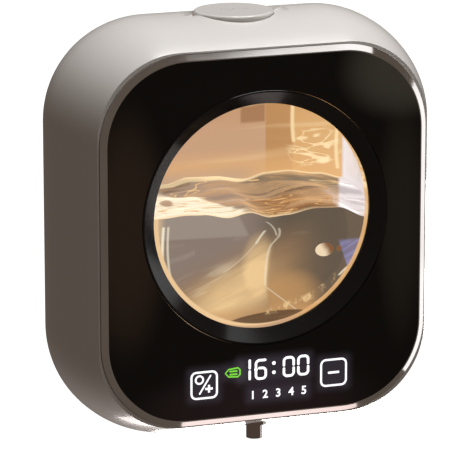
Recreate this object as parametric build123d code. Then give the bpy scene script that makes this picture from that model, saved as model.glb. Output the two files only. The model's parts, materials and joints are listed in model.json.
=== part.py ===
"""Wall-mounted touchless foam soap dispenser.

X is to the right, +Z up, and the front faces -Y. The wall is the plane Y = 0, and the origin is the
centre of the bracket's back face. Most places are given as a depth behind the front panel's face.
"""

from build123d import *
import math
import os

# Front outline and overall size, in millimetres
PANEL_WIDTH = 104.0
PANEL_HEIGHT = 114.6
PANEL_RADIUS = 26.0
TOTAL_DEPTH = 58.0
HOUSING_RADIUS = 24.2    # the housing's corners are a little squarer than the panel's
HOUSING_FRONT = 1.6      # depth of the housing's front edge
CREST_OFFSET = 9.6       # how far the housing swells beyond the panel's outline
FRONT_OFFSET = 2.8       # the same at its front edge
BACK_OFFSET = 2.5        # and at its back edge
CREST_PLACE = 0.561      # how far back the crest is, as a share of the housing's depth
WALL = 2.3

# Front panel, bezel and window
PANEL_THICKNESS = 2.2
BEZEL_LIP = 0.45
BEZEL_WIDTH = 2.2
BEZEL_SLOPE = 1.1        # depth of the bezel's sloping face at its outer edge
BEZEL_DEPTH = 5.0
FLANGE_THICKNESS = 3.0
FLANGE_REACH = 1.5       # how far the housing's flange stands inside the panel's outline
WINDOW_RADIUS = 36.1
WINDOW_MARGIN = 5.9      # from the tank's underside up to the window
WINDOW_RECESS = 3.1
RING_SLOPE = 4.8         # how much wider the ring is at its front
RING_THICKNESS = 3.3
LENS_SEAT = 2.8          # how far the lens reaches behind the ring
LENS_THICKNESS = 2.0
GASKET_THICKNESS = 0.6

# Tank, neck and cap
TANK_SIDE_GAP = 4.5      # between the tank and the housing's flange
TANK_TOP_GAP = 0.8
TANK_BASE = 21.2         # the tank's underside, above the panel's lower edge
TANK_WALL = 2.0
TANK_CORNER = 0.8        # how much rounder the tank's corners are than the panel's
TAB_OFFSET = 0.8         # the tank's screws, outside the panel's outline
TAB_HEIGHTS = (-14.0, 26.0)
TAB_THICKNESS = 2.0
BATTERY_BAY = 12.0       # between the tank's back and the wall
LIQUID_LEVEL = 6.0
NECK_STEP = 3.4          # from the cap's rim in to the neck's bore
NECK_WALL = 1.6
NECK_FLANGE = 3.0        # how far the neck's flange reaches past the cap
FLANGE_DEPTH = 2.0       # the neck flange's thickness
SEAL_THICKNESS = 0.8
COLLAR_STAND = 0.4       # how far the collar's flat lower face stands below the wall beside it
CAP_RADIUS = 12.8
CAP_SETBACK = -0.6       # from the housing's crest back to the cap's axis
CAP_PROUD = 0.35
CAP_THICKNESS = 3.2
PLUG_LENGTH = 9.0
PLUG_WALL = 2.2
GROOVE_DROP = 3.0        # from the cap's seat down to its seal's groove
GROOVE_WIDTH = 1.6
GROOVE_DEPTH = 1.2
CAP_GAP = 0.4            # radial, round the cap
NOTCH_RADIUS = 4.0
NOTCH_DEPTH = 1.5

# Back of the housing and the wall bracket
BRACKET_WIDTH = 64.0
BRACKET_HEIGHT = 70.0
BRACKET_THICKNESS = 2.5
HOOK_SPACING_X = 54.0
HOOK_SPACING_Z = 44.0
HOOK_WIDTH = 6.0
HOOK_ARM = 3.0
HOOK_LIP = 6.0
HOOK_LIP_THICKNESS = 2.2
LIFT = 8.0
SCREW_HOLE_RADIUS = 2.2
SCREW_HOLE_SPACING = 40.0
COVER_GAP = 0.3
COVER_THICKNESS = 2.2
REAR_GASKET = 0.8
COLUMN_RADIUS = 3.5
COLUMN_INSET = 2.2       # the column's axis, inside the arc of the housing's corner

# Pump
PUMP_AXIS = 7.0          # the gears' axes, above the panel's lower edge
GEAR_MODULE = 0.8
GEAR_TEETH = 12
GEAR_WIDTH = 6.0
GEAR_BACKLASH = 0.2
PRESSURE_ANGLE = 25.0
SHAFT_RADIUS = 1.0
PUMP_WALL = 2.0
MOTOR_RADIUS = 8.0
MOTOR_LENGTH = 26.0
PORT_RADIUS = 1.2
SPIGOT_RADIUS = 2.0
HOSE_WALL = 1.0
OUTLET_SPIGOTS = (0.35, 0.525)    # the nozzle's and the pump's, as shares of the gap between them

# Nozzle, sensors, port and electronics
NOZZLE_DEPTH = 10.5
NOZZLE_RADIUS = 2.6
NOZZLE_BORE = 1.7
NOZZLE_DROP = 10.9       # from the panel's lower edge down to the nozzle's tip
NOZZLE_RISE = 2.9        # and up to its closed top
COLLAR_RADIUS = 3.9
SENSOR_X = -14.0
SENSOR_DEPTH = 14.0
SENSOR_LENGTH = 15.0
SENSOR_WIDTH = 6.0
EYE_HEIGHT = 2.0
EYE_RADIUS = 1.5
EYE_SPREAD = 4.0         # from the sensor's middle to each eye
SENSOR_BOARD_WIDTH = 5.2
PORT_X = 18.0
PORT_SETBACK = 3.8       # from the housing's crest back to the port
PORT_SHELL = (9.0, 3.2)
PORT_MOUTH = (8.4, 2.6)
FLAP_LENGTH = 15.0
FLAP_WIDTH = 8.0
FLAP_THICKNESS = 2.4
HINGE_RADIUS = 1.4
HINGE_PIN = 0.4
TOUCH_LEFT = -20.7
TOUCH_RIGHT = 23.0
TOUCH_SLEEVE = (2.8, 3.4)    # the touch sleeves' inner and outer radii
TOUCH_RISE = 11.0        # the touch squares' middle, above the panel's lower edge
BOARD_THICKNESS = 1.2
BATTERY_SIZE = (40.0, 5.0, 60.0)
BATTERY_BOTTOM = -15.0
BATTERY_PAD = 0.8
LEAD_RADIUS = 0.6
POST_X = (-26.0, 26.0)   # the posts that hold the main board
POST_RADIUS = 2.4
LEAD_X = (14.6, 16.4)    # the battery's two leads
LEAD_SPREAD = 0.9        # from the motor leads' middle to each

# Screws: the radii of their shanks and heads
CASE_SCREW = 1.2
COUNTERSINK = 1.5        # the depth of the case screws' heads
TANK_SCREW = (0.9, 1.8)
PUMP_SCREW = (1.0, 1.7)
BOARD_SCREW = (0.8, 1.8)
HEAD_THICKNESS = 1.2
PILOT = 0.05             # how much wider a screw's hole is

# Clearances
FIT = 0.1                # between parts that are pressed or glued together
LOOSE = 0.3              # between parts that only pass each other
RUNNING = 0.05           # radial, a shaft in its bore
GEAR_TIP_GAP = 0.15

BASE = -PANEL_HEIGHT / 2
RING_RADIUS = WINDOW_RADIUS + RING_SLOPE
LENS_RADIUS = WINDOW_RADIUS + LENS_SEAT
TANK_WIDTH = PANEL_WIDTH - 2 * (FLANGE_REACH + TANK_SIDE_GAP)
TANK_TOP = PANEL_HEIGHT / 2 - FLANGE_REACH - TANK_TOP_GAP
TANK_BOTTOM = BASE + TANK_BASE
TANK_RADIUS = PANEL_RADIUS + TANK_CORNER
TANK_BACK = TOTAL_DEPTH - BATTERY_BAY
WINDOW_HEIGHT = TANK_BOTTOM + WINDOW_MARGIN + WINDOW_RADIUS
TANK_FRONT = RING_THICKNESS + LENS_THICKNESS + GASKET_THICKNESS
FLANGE_BACK = BEZEL_DEPTH + FLANGE_THICKNESS
COVER_OUTER_Y = -(BRACKET_THICKNESS + COVER_GAP)
COVER_INNER_Y = COVER_OUTER_Y - COVER_THICKNESS
HOUSING_BACK = TOTAL_DEPTH + COVER_INNER_Y - REAR_GASKET
CREST_DEPTH = HOUSING_FRONT + CREST_PLACE * (HOUSING_BACK - HOUSING_FRONT)
HOUSING_TOP = PANEL_HEIGHT / 2 + CREST_OFFSET
COLUMN_REACH = HOUSING_RADIUS - COLUMN_INSET
CAP_TOP = HOUSING_TOP + CAP_PROUD
CAP_SEAT = CAP_TOP - CAP_THICKNESS
CAP_DEPTH = CREST_DEPTH + CAP_SETBACK
NECK_BORE = CAP_RADIUS - NECK_STEP
NECK_RADIUS = NECK_BORE + NECK_WALL
NECK_FLANGE_RADIUS = CAP_RADIUS + NECK_FLANGE
PORT_DEPTH = CREST_DEPTH + PORT_SETBACK
GEAR_PITCH_RADIUS = GEAR_MODULE * GEAR_TEETH / 2
GEAR_TIP_RADIUS = GEAR_PITCH_RADIUS + 0.9 * GEAR_MODULE
GEAR_CENTRES = 2 * GEAR_PITCH_RADIUS
CAVITY_RADIUS = GEAR_TIP_RADIUS + GEAR_TIP_GAP
PUMP_REAR = TANK_BACK - 1.5
PUMP_DEPTH = PUMP_REAR - PUMP_WALL - CAVITY_RADIUS - GEAR_CENTRES
PUMP_FRONT = PUMP_DEPTH - CAVITY_RADIUS - PUMP_WALL
PUMP_HEIGHT = BASE + PUMP_AXIS
MESH_DEPTH = PUMP_DEPTH + GEAR_CENTRES / 2
CAVITY_WIDTH = GEAR_WIDTH + 0.2
PUMP_X = (-CAVITY_WIDTH / 2, CAVITY_WIDTH / 2 + PUMP_WALL)
PUMP_TOP = PUMP_HEIGHT + CAVITY_RADIUS + PUMP_WALL
PUMP_BASE = PUMP_HEIGHT - CAVITY_RADIUS - PUMP_WALL
OUTLET_HEIGHT = PUMP_BASE + 0.3
SPIGOT_LENGTH = (TANK_BOTTOM - PUMP_TOP) / 2 - 0.4
MOTOR_FACE = PUMP_X[0] - PUMP_WALL
OUTLET_GAP = PUMP_FRONT - NOZZLE_DEPTH - NOZZLE_RADIUS
NOZZLE_TIP = BASE - NOZZLE_DROP
NOZZLE_TOP = BASE + NOZZLE_RISE
TOUCH_HEIGHT = BASE + TOUCH_RISE
BOARD_TOP = TANK_BOTTOM - 0.6
BOARD_MIDDLE = BOARD_TOP - 11.0
BATTERY_SOCKET = (BOARD_TOP - 8.0, BOARD_TOP - 3.5)
PANEL_BACK = PANEL_THICKNESS
LIGHT_BOX_BACK = PANEL_BACK + 3.8


def y_at(depth):
    """The Y of a depth behind the front panel's face."""
    return depth - TOTAL_DEPTH


def flank_offset(depth, inset=0.0):
    """How far the housing's flank, or its inner wall, stands outside the panel's outline."""
    run, edge = CREST_DEPTH - HOUSING_FRONT, FRONT_OFFSET
    if depth > CREST_DEPTH:
        run, edge = HOUSING_BACK - CREST_DEPTH, BACK_OFFSET
    swell = CREST_OFFSET - edge
    radius = (run**2 + swell**2) / (2 * swell)
    return CREST_OFFSET - radius + math.sqrt((radius - inset) ** 2 - (depth - CREST_DEPTH) ** 2)


def collar_bottom():
    """The flat face that the neck seal presses on, below the top wall all round the flange."""
    furthest = NECK_FLANGE_RADIUS - min(CAP_SETBACK, 0)
    wall = min(flank_offset(CREST_DEPTH + side * furthest, WALL) for side in (-1, 1))
    return PANEL_HEIGHT / 2 + wall - COLLAR_STAND


def block(x, depth, z):
    """A box from its (low, high) ranges along X, depth and Z."""
    size = (x[1] - x[0], depth[1] - depth[0], z[1] - z[0])
    centre = ((x[0] + x[1]) / 2, y_at((depth[0] + depth[1]) / 2), (z[0] + z[1]) / 2)
    return Pos(*centre) * Box(*size)


def rod_x(radius, x, depth, z):
    """A cylinder along X, over the range x."""
    middle = ((x[0] + x[1]) / 2, y_at(depth), z)
    return Pos(*middle) * Rot(0, 90, 0) * Cylinder(radius, x[1] - x[0])


def rod_y(radius, x, depth, z):
    """A cylinder along Y, over the range depth."""
    middle = (x, y_at((depth[0] + depth[1]) / 2), z)
    return Pos(*middle) * Rot(90, 0, 0) * Cylinder(radius, depth[1] - depth[0])


def rod_z(radius, x, depth, z):
    """A cylinder along Z, over the range z."""
    return Pos(x, y_at(depth), (z[0] + z[1]) / 2) * Cylinder(radius, z[1] - z[0])


def rounded_slab(width, height, radius, depth, centre_z=0.0):
    """A rounded rectangle seen from the front, over the range depth."""
    plane = Plane(origin=(0, y_at(depth[0]), centre_z), x_dir=(1, 0, 0), z_dir=(0, 1, 0))
    return extrude(plane * RectangleRounded(width, height, radius), depth[1] - depth[0])


def outline_slab(offset, depth, radius=PANEL_RADIUS):
    """The panel's outline grown by an offset, over the range depth."""
    return rounded_slab(PANEL_WIDTH + 2 * offset, PANEL_HEIGHT + 2 * offset, radius + offset, depth)


def housing_slab(offset, depth):
    """The same with the housing's squarer corners."""
    return outline_slab(offset, depth, HOUSING_RADIUS)


def outline_path(r):
    """The panel's outline with corner radius r, as a closed path from the middle of its right."""
    w, h = PANEL_WIDTH / 2, PANEL_HEIGHT / 2
    plane = Plane(origin=(0, y_at(0), 0), x_dir=(1, 0, 0), z_dir=(0, -1, 0))
    edges = [Line((w, 0), (w, h - r))]
    corners = [(w - r, h - r), (r - w, h - r), (r - w, r - h), (w - r, r - h)]
    straights = [
        ((w - r, h), (r - w, h)),
        ((-w, h - r), (-w, r - h)),
        ((r - w, -h), (w - r, -h)),
        ((w, r - h), (w, 0)),
    ]
    for index, (corner, straight) in enumerate(zip(corners, straights)):
        edges.append(CenterArc(corner, r, 90 * index, 90))
        edges.append(Line(*straight))
    return plane * Wire(edges)


def around_outline(section, radius):
    """Sweep a flat section of (offset, depth) edges round the outline."""
    return sweep(make_face(section), path=outline_path(radius))


def at_edge(offset, depth):
    """A point of a section that is swept round the outline."""
    return (PANEL_WIDTH / 2 + offset, y_at(depth), 0)


def edge_polygon(*points):
    """A closed run of straight edges through (offset, depth) points."""
    return [Polyline(*[at_edge(*point) for point in points], close=True)]


def flank_arcs(inset, start, end):
    """The housing's flank between two depths either side of its crest, as two arcs."""
    arcs = []
    for low, high in ((start, CREST_DEPTH), (CREST_DEPTH, end)):
        depths = (low, (low + high) / 2, high)
        arcs.append(ThreePointArc(*[at_edge(flank_offset(depth, inset), depth) for depth in depths]))
    return arcs


def corner_points(reach):
    """The four points on the corner diagonals at a distance from the corner centres."""
    x = PANEL_WIDTH / 2 - HOUSING_RADIUS + reach * math.sqrt(0.5)
    z = PANEL_HEIGHT / 2 - HOUSING_RADIUS + reach * math.sqrt(0.5)
    return [(sx * x, sz * z) for sx in (-1, 1) for sz in (-1, 1)]


def hook_points():
    return [
        (sx * HOOK_SPACING_X / 2, sz * HOOK_SPACING_Z / 2) for sx in (-1, 1) for sz in (-1, 1)
    ]


def tank_tabs():
    """Where the tank's four screws go, on the housing's flange beside the tank."""
    x = PANEL_WIDTH / 2 + TAB_OFFSET
    return [(sx * x, z) for sx in (-1, 1) for z in TAB_HEIGHTS]


def housing_solid():
    """The housing's outer form without its hollow."""
    start, end = HOUSING_FRONT, HOUSING_BACK
    section = flank_arcs(0, start, end)
    section.append(
        Polyline(
            at_edge(BACK_OFFSET, end),
            at_edge(-1, end),
            at_edge(-1, start),
            at_edge(FRONT_OFFSET, start),
        )
    )
    return housing_slab(0, (start, end)) + around_outline(section, HOUSING_RADIUS)


def port_pocket(gap):
    """The pocket for the port's flap, smaller all round by a gap."""
    return block(
        (PORT_X - FLAP_LENGTH / 2 + gap, PORT_X + FLAP_LENGTH / 2 - gap),
        (PORT_DEPTH - FLAP_WIDTH / 2 + gap, PORT_DEPTH + FLAP_WIDTH / 2 - gap),
        (-HOUSING_TOP - 1, pocket_ceiling() - gap / 3),
    )


def pocket_ceiling():
    """The pocket's flat ceiling, deep enough for the flap at its thinnest place."""
    deepest = PORT_DEPTH + FLAP_WIDTH / 2
    return -(PANEL_HEIGHT / 2 + flank_offset(deepest)) + FLAP_THICKNESS


def sensor_slot(gap, z):
    """The sensor window's round-ended plan, smaller all round by a gap."""
    plane = Plane(origin=(SENSOR_X, y_at(SENSOR_DEPTH), z[0]))
    slot = SlotOverall(SENSOR_LENGTH - 2 * gap, SENSOR_WIDTH - 2 * gap)
    return extrude(plane * slot, z[1] - z[0])


def housing_shell():
    front, back = HOUSING_FRONT, HOUSING_BACK
    section = flank_arcs(0, front, back) + flank_arcs(WALL, FLANGE_BACK, back)
    section += [
        Line(at_edge(BACK_OFFSET, back), at_edge(flank_offset(back, WALL), back)),
        Polyline(
            at_edge(flank_offset(FLANGE_BACK, WALL), FLANGE_BACK),
            at_edge(-FLANGE_REACH, FLANGE_BACK),
            at_edge(-FLANGE_REACH, front),
            at_edge(FRONT_OFFSET, front),
        ),
    ]
    shell = around_outline(section, HOUSING_RADIUS)
    shell -= outline_slab(BEZEL_WIDTH + FIT, (front - 1, BEZEL_DEPTH))
    for x, z in corner_points(COLUMN_REACH):
        shell += rod_y(COLUMN_RADIUS, x, (FLANGE_BACK - 0.5, HOUSING_BACK), z)
        shell -= rod_y(CASE_SCREW + FIT, x, (HOUSING_BACK - 12, HOUSING_BACK + 1), z)
    solid = housing_solid()
    collar = rod_z(NECK_FLANGE_RADIUS, 0, CAP_DEPTH, (collar_bottom(), HOUSING_TOP))
    well = block(
        (PORT_X - FLAP_LENGTH / 2 - 2, PORT_X + FLAP_LENGTH / 2 + 2),
        (PORT_DEPTH - FLAP_WIDTH / 2 - 2, PORT_DEPTH + FLAP_WIDTH / 2 + 2),
        (-HOUSING_TOP, pocket_ceiling() + 2),
    )
    shell += (collar + well) & solid
    shell -= rod_z(CAP_RADIUS + CAP_GAP, 0, CAP_DEPTH, (collar_bottom() - 1, HOUSING_TOP + 1))
    for side in (-1, 1):
        x = side * (CAP_RADIUS + 1.5)
        depth = (CAP_DEPTH - 4, CAP_DEPTH + 4)
        shell -= rod_y(NOTCH_RADIUS, x, depth, HOUSING_TOP + NOTCH_RADIUS - NOTCH_DEPTH)
    shell -= rod_z(COLLAR_RADIUS + FIT, 0, NOZZLE_DEPTH, (-HOUSING_TOP, NOZZLE_TOP))
    shell -= sensor_slot(0, (-HOUSING_TOP, sensor_top() + 1))
    shell -= port_pocket(0)
    shell -= port_slot(FIT)
    for x, z in tank_tabs():
        shell -= rod_y(TANK_SCREW[0] + PILOT, x, (FLANGE_BACK - 2.5, FLANGE_BACK + 1), z)
    shell -= hinge_pin(HINGE_PIN + RUNNING, 0.7)
    return shell


def hinge_pin(radius, reach):
    """The flap's hinge pin, reaching a little way into both ends of the pocket."""
    x, z = hinge_axis()
    return rod_y(
        radius, x, (PORT_DEPTH - FLAP_WIDTH / 2 - reach, PORT_DEPTH + FLAP_WIDTH / 2 + reach), z
    )


def port_slot(gap):
    """The charging port's round-ended outline, grown by a gap, through the pocket's ceiling."""
    plane = Plane(origin=(PORT_X + 1, y_at(PORT_DEPTH), pocket_ceiling() - 1))
    return extrude(plane * SlotOverall(PORT_SHELL[0] + 2 * gap, PORT_SHELL[1] + 2 * gap), 8)


def usb_port():
    body = port_slot(0) & block((0, 60), (0, TOTAL_DEPTH), (pocket_ceiling(), 0))
    plane = Plane(origin=(PORT_X + 1, y_at(PORT_DEPTH), pocket_ceiling() - 1))
    body -= extrude(plane * SlotOverall(*PORT_MOUTH), 7)
    tongue = block(
        (PORT_X - 2.3, PORT_X + 4.3),
        (PORT_DEPTH - 0.35, PORT_DEPTH + 0.35),
        (pocket_ceiling() + 1, pocket_ceiling() + 6.5),
    )
    return body + tongue


def hinge_axis():
    """The flap's hinge axis, as its X and Z: its barrel is level with the housing's lowest face."""
    lowest = max(flank_offset(PORT_DEPTH - FLAP_WIDTH / 2), flank_offset(PORT_DEPTH))
    x = PORT_X - FLAP_LENGTH / 2 + LOOSE + HINGE_RADIUS
    return (x, -(PANEL_HEIGHT / 2 + lowest) + HINGE_RADIUS)


def usb_flap():
    """The port's flap: its outer face follows the housing, and it swings about a round barrel."""
    flap = port_pocket(LOOSE) & housing_solid()
    hinge = hinge_axis()
    depth = (PORT_DEPTH - FLAP_WIDTH / 2 + LOOSE, PORT_DEPTH + FLAP_WIDTH / 2 - LOOSE)
    flap -= block((hinge[0] - 5, hinge[0]), (depth[0] - 1, depth[1] + 1), (-HOUSING_TOP, BASE))
    flap += rod_y(HINGE_RADIUS, hinge[0], depth, hinge[1])
    return flap + hinge_pin(HINGE_PIN, 0.6)


def bezel_ring():
    section = edge_polygon(
        (FIT, 0),
        (BEZEL_LIP, 0),
        (BEZEL_WIDTH, BEZEL_SLOPE),
        (BEZEL_WIDTH, BEZEL_DEPTH),
        (-FLANGE_REACH, BEZEL_DEPTH),
        (-FLANGE_REACH, PANEL_THICKNESS),
        (FIT, PANEL_THICKNESS),
    )
    return around_outline(section, PANEL_RADIUS)


def front_panel():
    panel = outline_slab(0, (0, PANEL_THICKNESS))
    return panel - rod_y(RING_RADIUS + FIT, 0, (-1, PANEL_THICKNESS + 1), WINDOW_HEIGHT)


def window_plane():
    """A half plane through the window's axis, for turned parts: X is radius, Y is depth."""
    return Plane(origin=(0, y_at(0), WINDOW_HEIGHT), x_dir=(1, 0, 0), z_dir=(0, 0, 1))


def window_ring():
    outline = Polyline(
        (RING_RADIUS, 0.2),
        (RING_RADIUS - 0.2, 0),
        (RING_RADIUS - 0.7, 0),
        (WINDOW_RADIUS, WINDOW_RECESS),
        (WINDOW_RADIUS, RING_THICKNESS),
        (RING_RADIUS, RING_THICKNESS),
        close=True,
    )
    axis = Axis((0, y_at(0), WINDOW_HEIGHT), (0, 1, 0))
    return revolve(window_plane() * make_face(outline), axis)


def window_lens():
    back = RING_THICKNESS + LENS_THICKNESS
    return rod_y(LENS_RADIUS, 0, (RING_THICKNESS, back), WINDOW_HEIGHT)


def lens_gasket():
    depth = (RING_THICKNESS + LENS_THICKNESS, TANK_FRONT)
    ring = rod_y(LENS_RADIUS - 0.4, 0, depth, WINDOW_HEIGHT)
    return ring - rod_y(WINDOW_RADIUS + 0.8, 0, (0, TANK_FRONT + 1), WINDOW_HEIGHT)


def tank_slab(inset, depth):
    """The tank's rounded outline, smaller all round by an inset."""
    height = TANK_TOP - TANK_BOTTOM
    return rounded_slab(
        TANK_WIDTH - 2 * inset,
        height - 2 * inset,
        TANK_RADIUS - inset,
        depth,
        (TANK_TOP + TANK_BOTTOM) / 2,
    )


def tank_body():
    tank = tank_slab(0, (TANK_FRONT, TANK_BACK))
    tank += rod_z(SPIGOT_RADIUS, 0, MESH_DEPTH, (TANK_BOTTOM - SPIGOT_LENGTH, TANK_BOTTOM + 1))
    reach = PANEL_WIDTH / 2 + flank_offset(FLANGE_BACK, WALL) - LOOSE
    for x, z in tank_tabs():
        side = 1 if x > 0 else -1
        ends = sorted((side * (TANK_WIDTH / 2 - 1), side * reach))
        tank += block(ends, (FLANGE_BACK, FLANGE_BACK + TAB_THICKNESS), (z - 4, z + 4))
        tank -= rod_y(TANK_SCREW[0] + FIT, x, (FLANGE_BACK - 1, FLANGE_BACK + 3), z)
    tank -= tank_slab(TANK_WALL, (TANK_FRONT + TANK_WALL, TANK_BACK + 1))
    tank -= rod_y(WINDOW_RADIUS + 0.4, 0, (0, TANK_FRONT + 3), WINDOW_HEIGHT)
    tank -= rod_z(NECK_RADIUS, 0, CAP_DEPTH, (TANK_TOP - 5, CAP_SEAT + 1))
    tank -= rod_z(PORT_RADIUS, 0, MESH_DEPTH, (TANK_BOTTOM - 5, TANK_BOTTOM + 5))
    return tank


def tank_neck():
    """A flanged neck, glued into the tank's top."""
    neck = rod_z(NECK_RADIUS, 0, CAP_DEPTH, (TANK_TOP - TANK_WALL, CAP_SEAT))
    seat = collar_bottom() - SEAL_THICKNESS
    neck += rod_z(NECK_FLANGE_RADIUS, 0, CAP_DEPTH, (seat - FLANGE_DEPTH, seat))
    return neck - rod_z(NECK_BORE, 0, CAP_DEPTH, (TANK_TOP - 5, CAP_SEAT + 1))


def tank_back():
    return tank_slab(TANK_WALL + FIT, (TANK_BACK - TANK_WALL, TANK_BACK))


def tank_screws():
    screws = Part()
    shank, head = TANK_SCREW
    seat = FLANGE_BACK + TAB_THICKNESS
    for x, z in tank_tabs():
        screws += rod_y(shank, x, (FLANGE_BACK - 2.2, seat), z)
        screws += rod_y(head, x, (seat, seat + HEAD_THICKNESS), z)
    return screws


def liquid_soap():
    depth = (TANK_FRONT + TANK_WALL + FIT, TANK_BACK - TANK_WALL - FIT)
    soap = tank_slab(TANK_WALL + FIT, depth)
    return soap - block((-80, 80), (0, TOTAL_DEPTH), (LIQUID_LEVEL, 80))


def neck_seal():
    z = (collar_bottom() - SEAL_THICKNESS, collar_bottom())
    ring = rod_z(NECK_FLANGE_RADIUS - 0.2, 0, CAP_DEPTH, z)
    return ring - rod_z(CAP_RADIUS + CAP_GAP, 0, CAP_DEPTH, (z[0] - 1, z[1] + 1))


def filler_cap():
    disc = rod_z(CAP_RADIUS, 0, CAP_DEPTH, (CAP_SEAT, CAP_TOP))
    disc = fillet(disc.edges().group_by(Axis.Z)[-1], 0.8)
    plug = rod_z(NECK_BORE - 0.35, 0, CAP_DEPTH, (CAP_SEAT - PLUG_LENGTH, CAP_SEAT))
    plug -= rod_z(NECK_BORE - PLUG_WALL, 0, CAP_DEPTH, (CAP_SEAT - PLUG_LENGTH - 1, CAP_SEAT - 2))
    groove_z = (CAP_SEAT - GROOVE_DROP - GROOVE_WIDTH, CAP_SEAT - GROOVE_DROP)
    groove = rod_z(NECK_BORE, 0, CAP_DEPTH, groove_z)
    groove -= rod_z(NECK_BORE - GROOVE_DEPTH, 0, CAP_DEPTH, groove_z)
    return disc + plug - groove


def cap_oring():
    """The cap's seal, a band in the plug's groove."""
    z = (CAP_SEAT - GROOVE_DROP - GROOVE_WIDTH + FIT, CAP_SEAT - GROOVE_DROP - FIT)
    band = rod_z(NECK_BORE - RUNNING, 0, CAP_DEPTH, z)
    return band - rod_z(NECK_BORE - GROOVE_DEPTH, 0, CAP_DEPTH, (z[0] - 1, z[1] + 1))


def rear_cover():
    depth = (TOTAL_DEPTH + COVER_INNER_Y, TOTAL_DEPTH + COVER_OUTER_Y)
    cover = housing_slab(BACK_OFFSET - LOOSE, depth)
    cover = chamfer(cover.edges().group_by(Axis.Y)[-1], 0.8)
    rim_offset = flank_offset(HOUSING_BACK, WALL) - LOOSE
    rim_depth = (HOUSING_BACK - 3, depth[0])
    rim = housing_slab(rim_offset, rim_depth)
    rim -= housing_slab(rim_offset - 2, (rim_depth[0] - 1, rim_depth[1] + 1))
    for x, z in corner_points(COLUMN_REACH):
        rim -= rod_y(COLUMN_RADIUS + 0.5, x, (rim_depth[0] - 1, rim_depth[1] + 1), z)
    cover += rim
    for x, z in corner_points(COLUMN_REACH):
        cover -= rod_y(CASE_SCREW + FIT, x, (HOUSING_BACK - 5, TOTAL_DEPTH), z)
        cover -= screw_head(x, z, RUNNING)
    for x, z in hook_points():
        cover -= block(
            (x - HOOK_WIDTH / 2 - LOOSE, x + HOOK_WIDTH / 2 + LOOSE),
            (depth[0] - 1, depth[1] + 1),
            (z - HOOK_ARM - LIFT - 0.5, z),
        )
    return cover


def screw_head(x, z, gap):
    """A countersunk head, flush with the rear cover's outer face and grown by a gap."""
    depth = COUNTERSINK
    head = Cone(CASE_SCREW + gap, CASE_SCREW + depth + gap, depth)
    y = COVER_OUTER_Y - depth / 2
    return Pos(x, y, z) * Rot(-90, 0, 0) * head


def rear_screws():
    screws = Part()
    for x, z in corner_points(COLUMN_REACH):
        screws += screw_head(x, z, 0)
        depth = (HOUSING_BACK - 9, TOTAL_DEPTH + COVER_OUTER_Y - COUNTERSINK)
        screws += rod_y(CASE_SCREW, x, depth, z)
    return screws


def rear_gasket():
    depth = (HOUSING_BACK, HOUSING_BACK + REAR_GASKET)
    offset = BACK_OFFSET - 0.6
    ring = housing_slab(offset, depth)
    ring -= housing_slab(offset - 1.4, (depth[0] - 1, depth[1] + 1))
    return ring


def wall_bracket():
    back = TOTAL_DEPTH
    depth = (back - BRACKET_THICKNESS, back)
    plate = rounded_slab(BRACKET_WIDTH, BRACKET_HEIGHT, 6, depth)
    for x, z in hook_points():
        reach = -COVER_INNER_Y + 0.5 + HOOK_LIP_THICKNESS
        width = (x - HOOK_WIDTH / 2, x + HOOK_WIDTH / 2)
        plate += block(width, (back - reach, depth[0] + 0.5), (z - HOOK_ARM, z))
        lip_depth = (back - reach, back - reach + HOOK_LIP_THICKNESS)
        plate += block(width, lip_depth, (z - HOOK_ARM, z + HOOK_LIP))
    for x in (-SCREW_HOLE_SPACING / 2, SCREW_HOLE_SPACING / 2):
        plate -= rod_y(SCREW_HOLE_RADIUS, x, (depth[0] - 1, depth[1] + 1), 0)
    return plate


def nozzle_body():
    """A straight outlet tube with a sideways spigot for the delivery hose."""
    tube = rod_z(NOZZLE_RADIUS, 0, NOZZLE_DEPTH, (NOZZLE_TIP, NOZZLE_TOP))
    spigot = NOZZLE_DEPTH + NOZZLE_RADIUS + OUTLET_SPIGOTS[0] * OUTLET_GAP
    tube += rod_y(SPIGOT_RADIUS, 0, (NOZZLE_DEPTH, spigot), OUTLET_HEIGHT)
    tube -= rod_z(NOZZLE_BORE, 0, NOZZLE_DEPTH, (NOZZLE_TIP - 1, NOZZLE_TOP - 1.2))
    tube -= rod_y(PORT_RADIUS, 0, (NOZZLE_DEPTH, PUMP_FRONT), OUTLET_HEIGHT)
    return tube


def nozzle_collar():
    top = OUTLET_HEIGHT - SPIGOT_RADIUS - HOSE_WALL - 0.2
    low = -(PANEL_HEIGHT / 2 + flank_offset(NOZZLE_DEPTH) - 0.3)
    ring = rod_z(COLLAR_RADIUS, 0, NOZZLE_DEPTH, (low, top))
    return ring - rod_z(NOZZLE_RADIUS + FIT, 0, NOZZLE_DEPTH, (low - 1, top + 1))


def foam_mesh():
    return rod_z(NOZZLE_BORE - RUNNING, 0, NOZZLE_DEPTH, (NOZZLE_TIP + 0.8, NOZZLE_TIP + 1.4))


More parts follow.
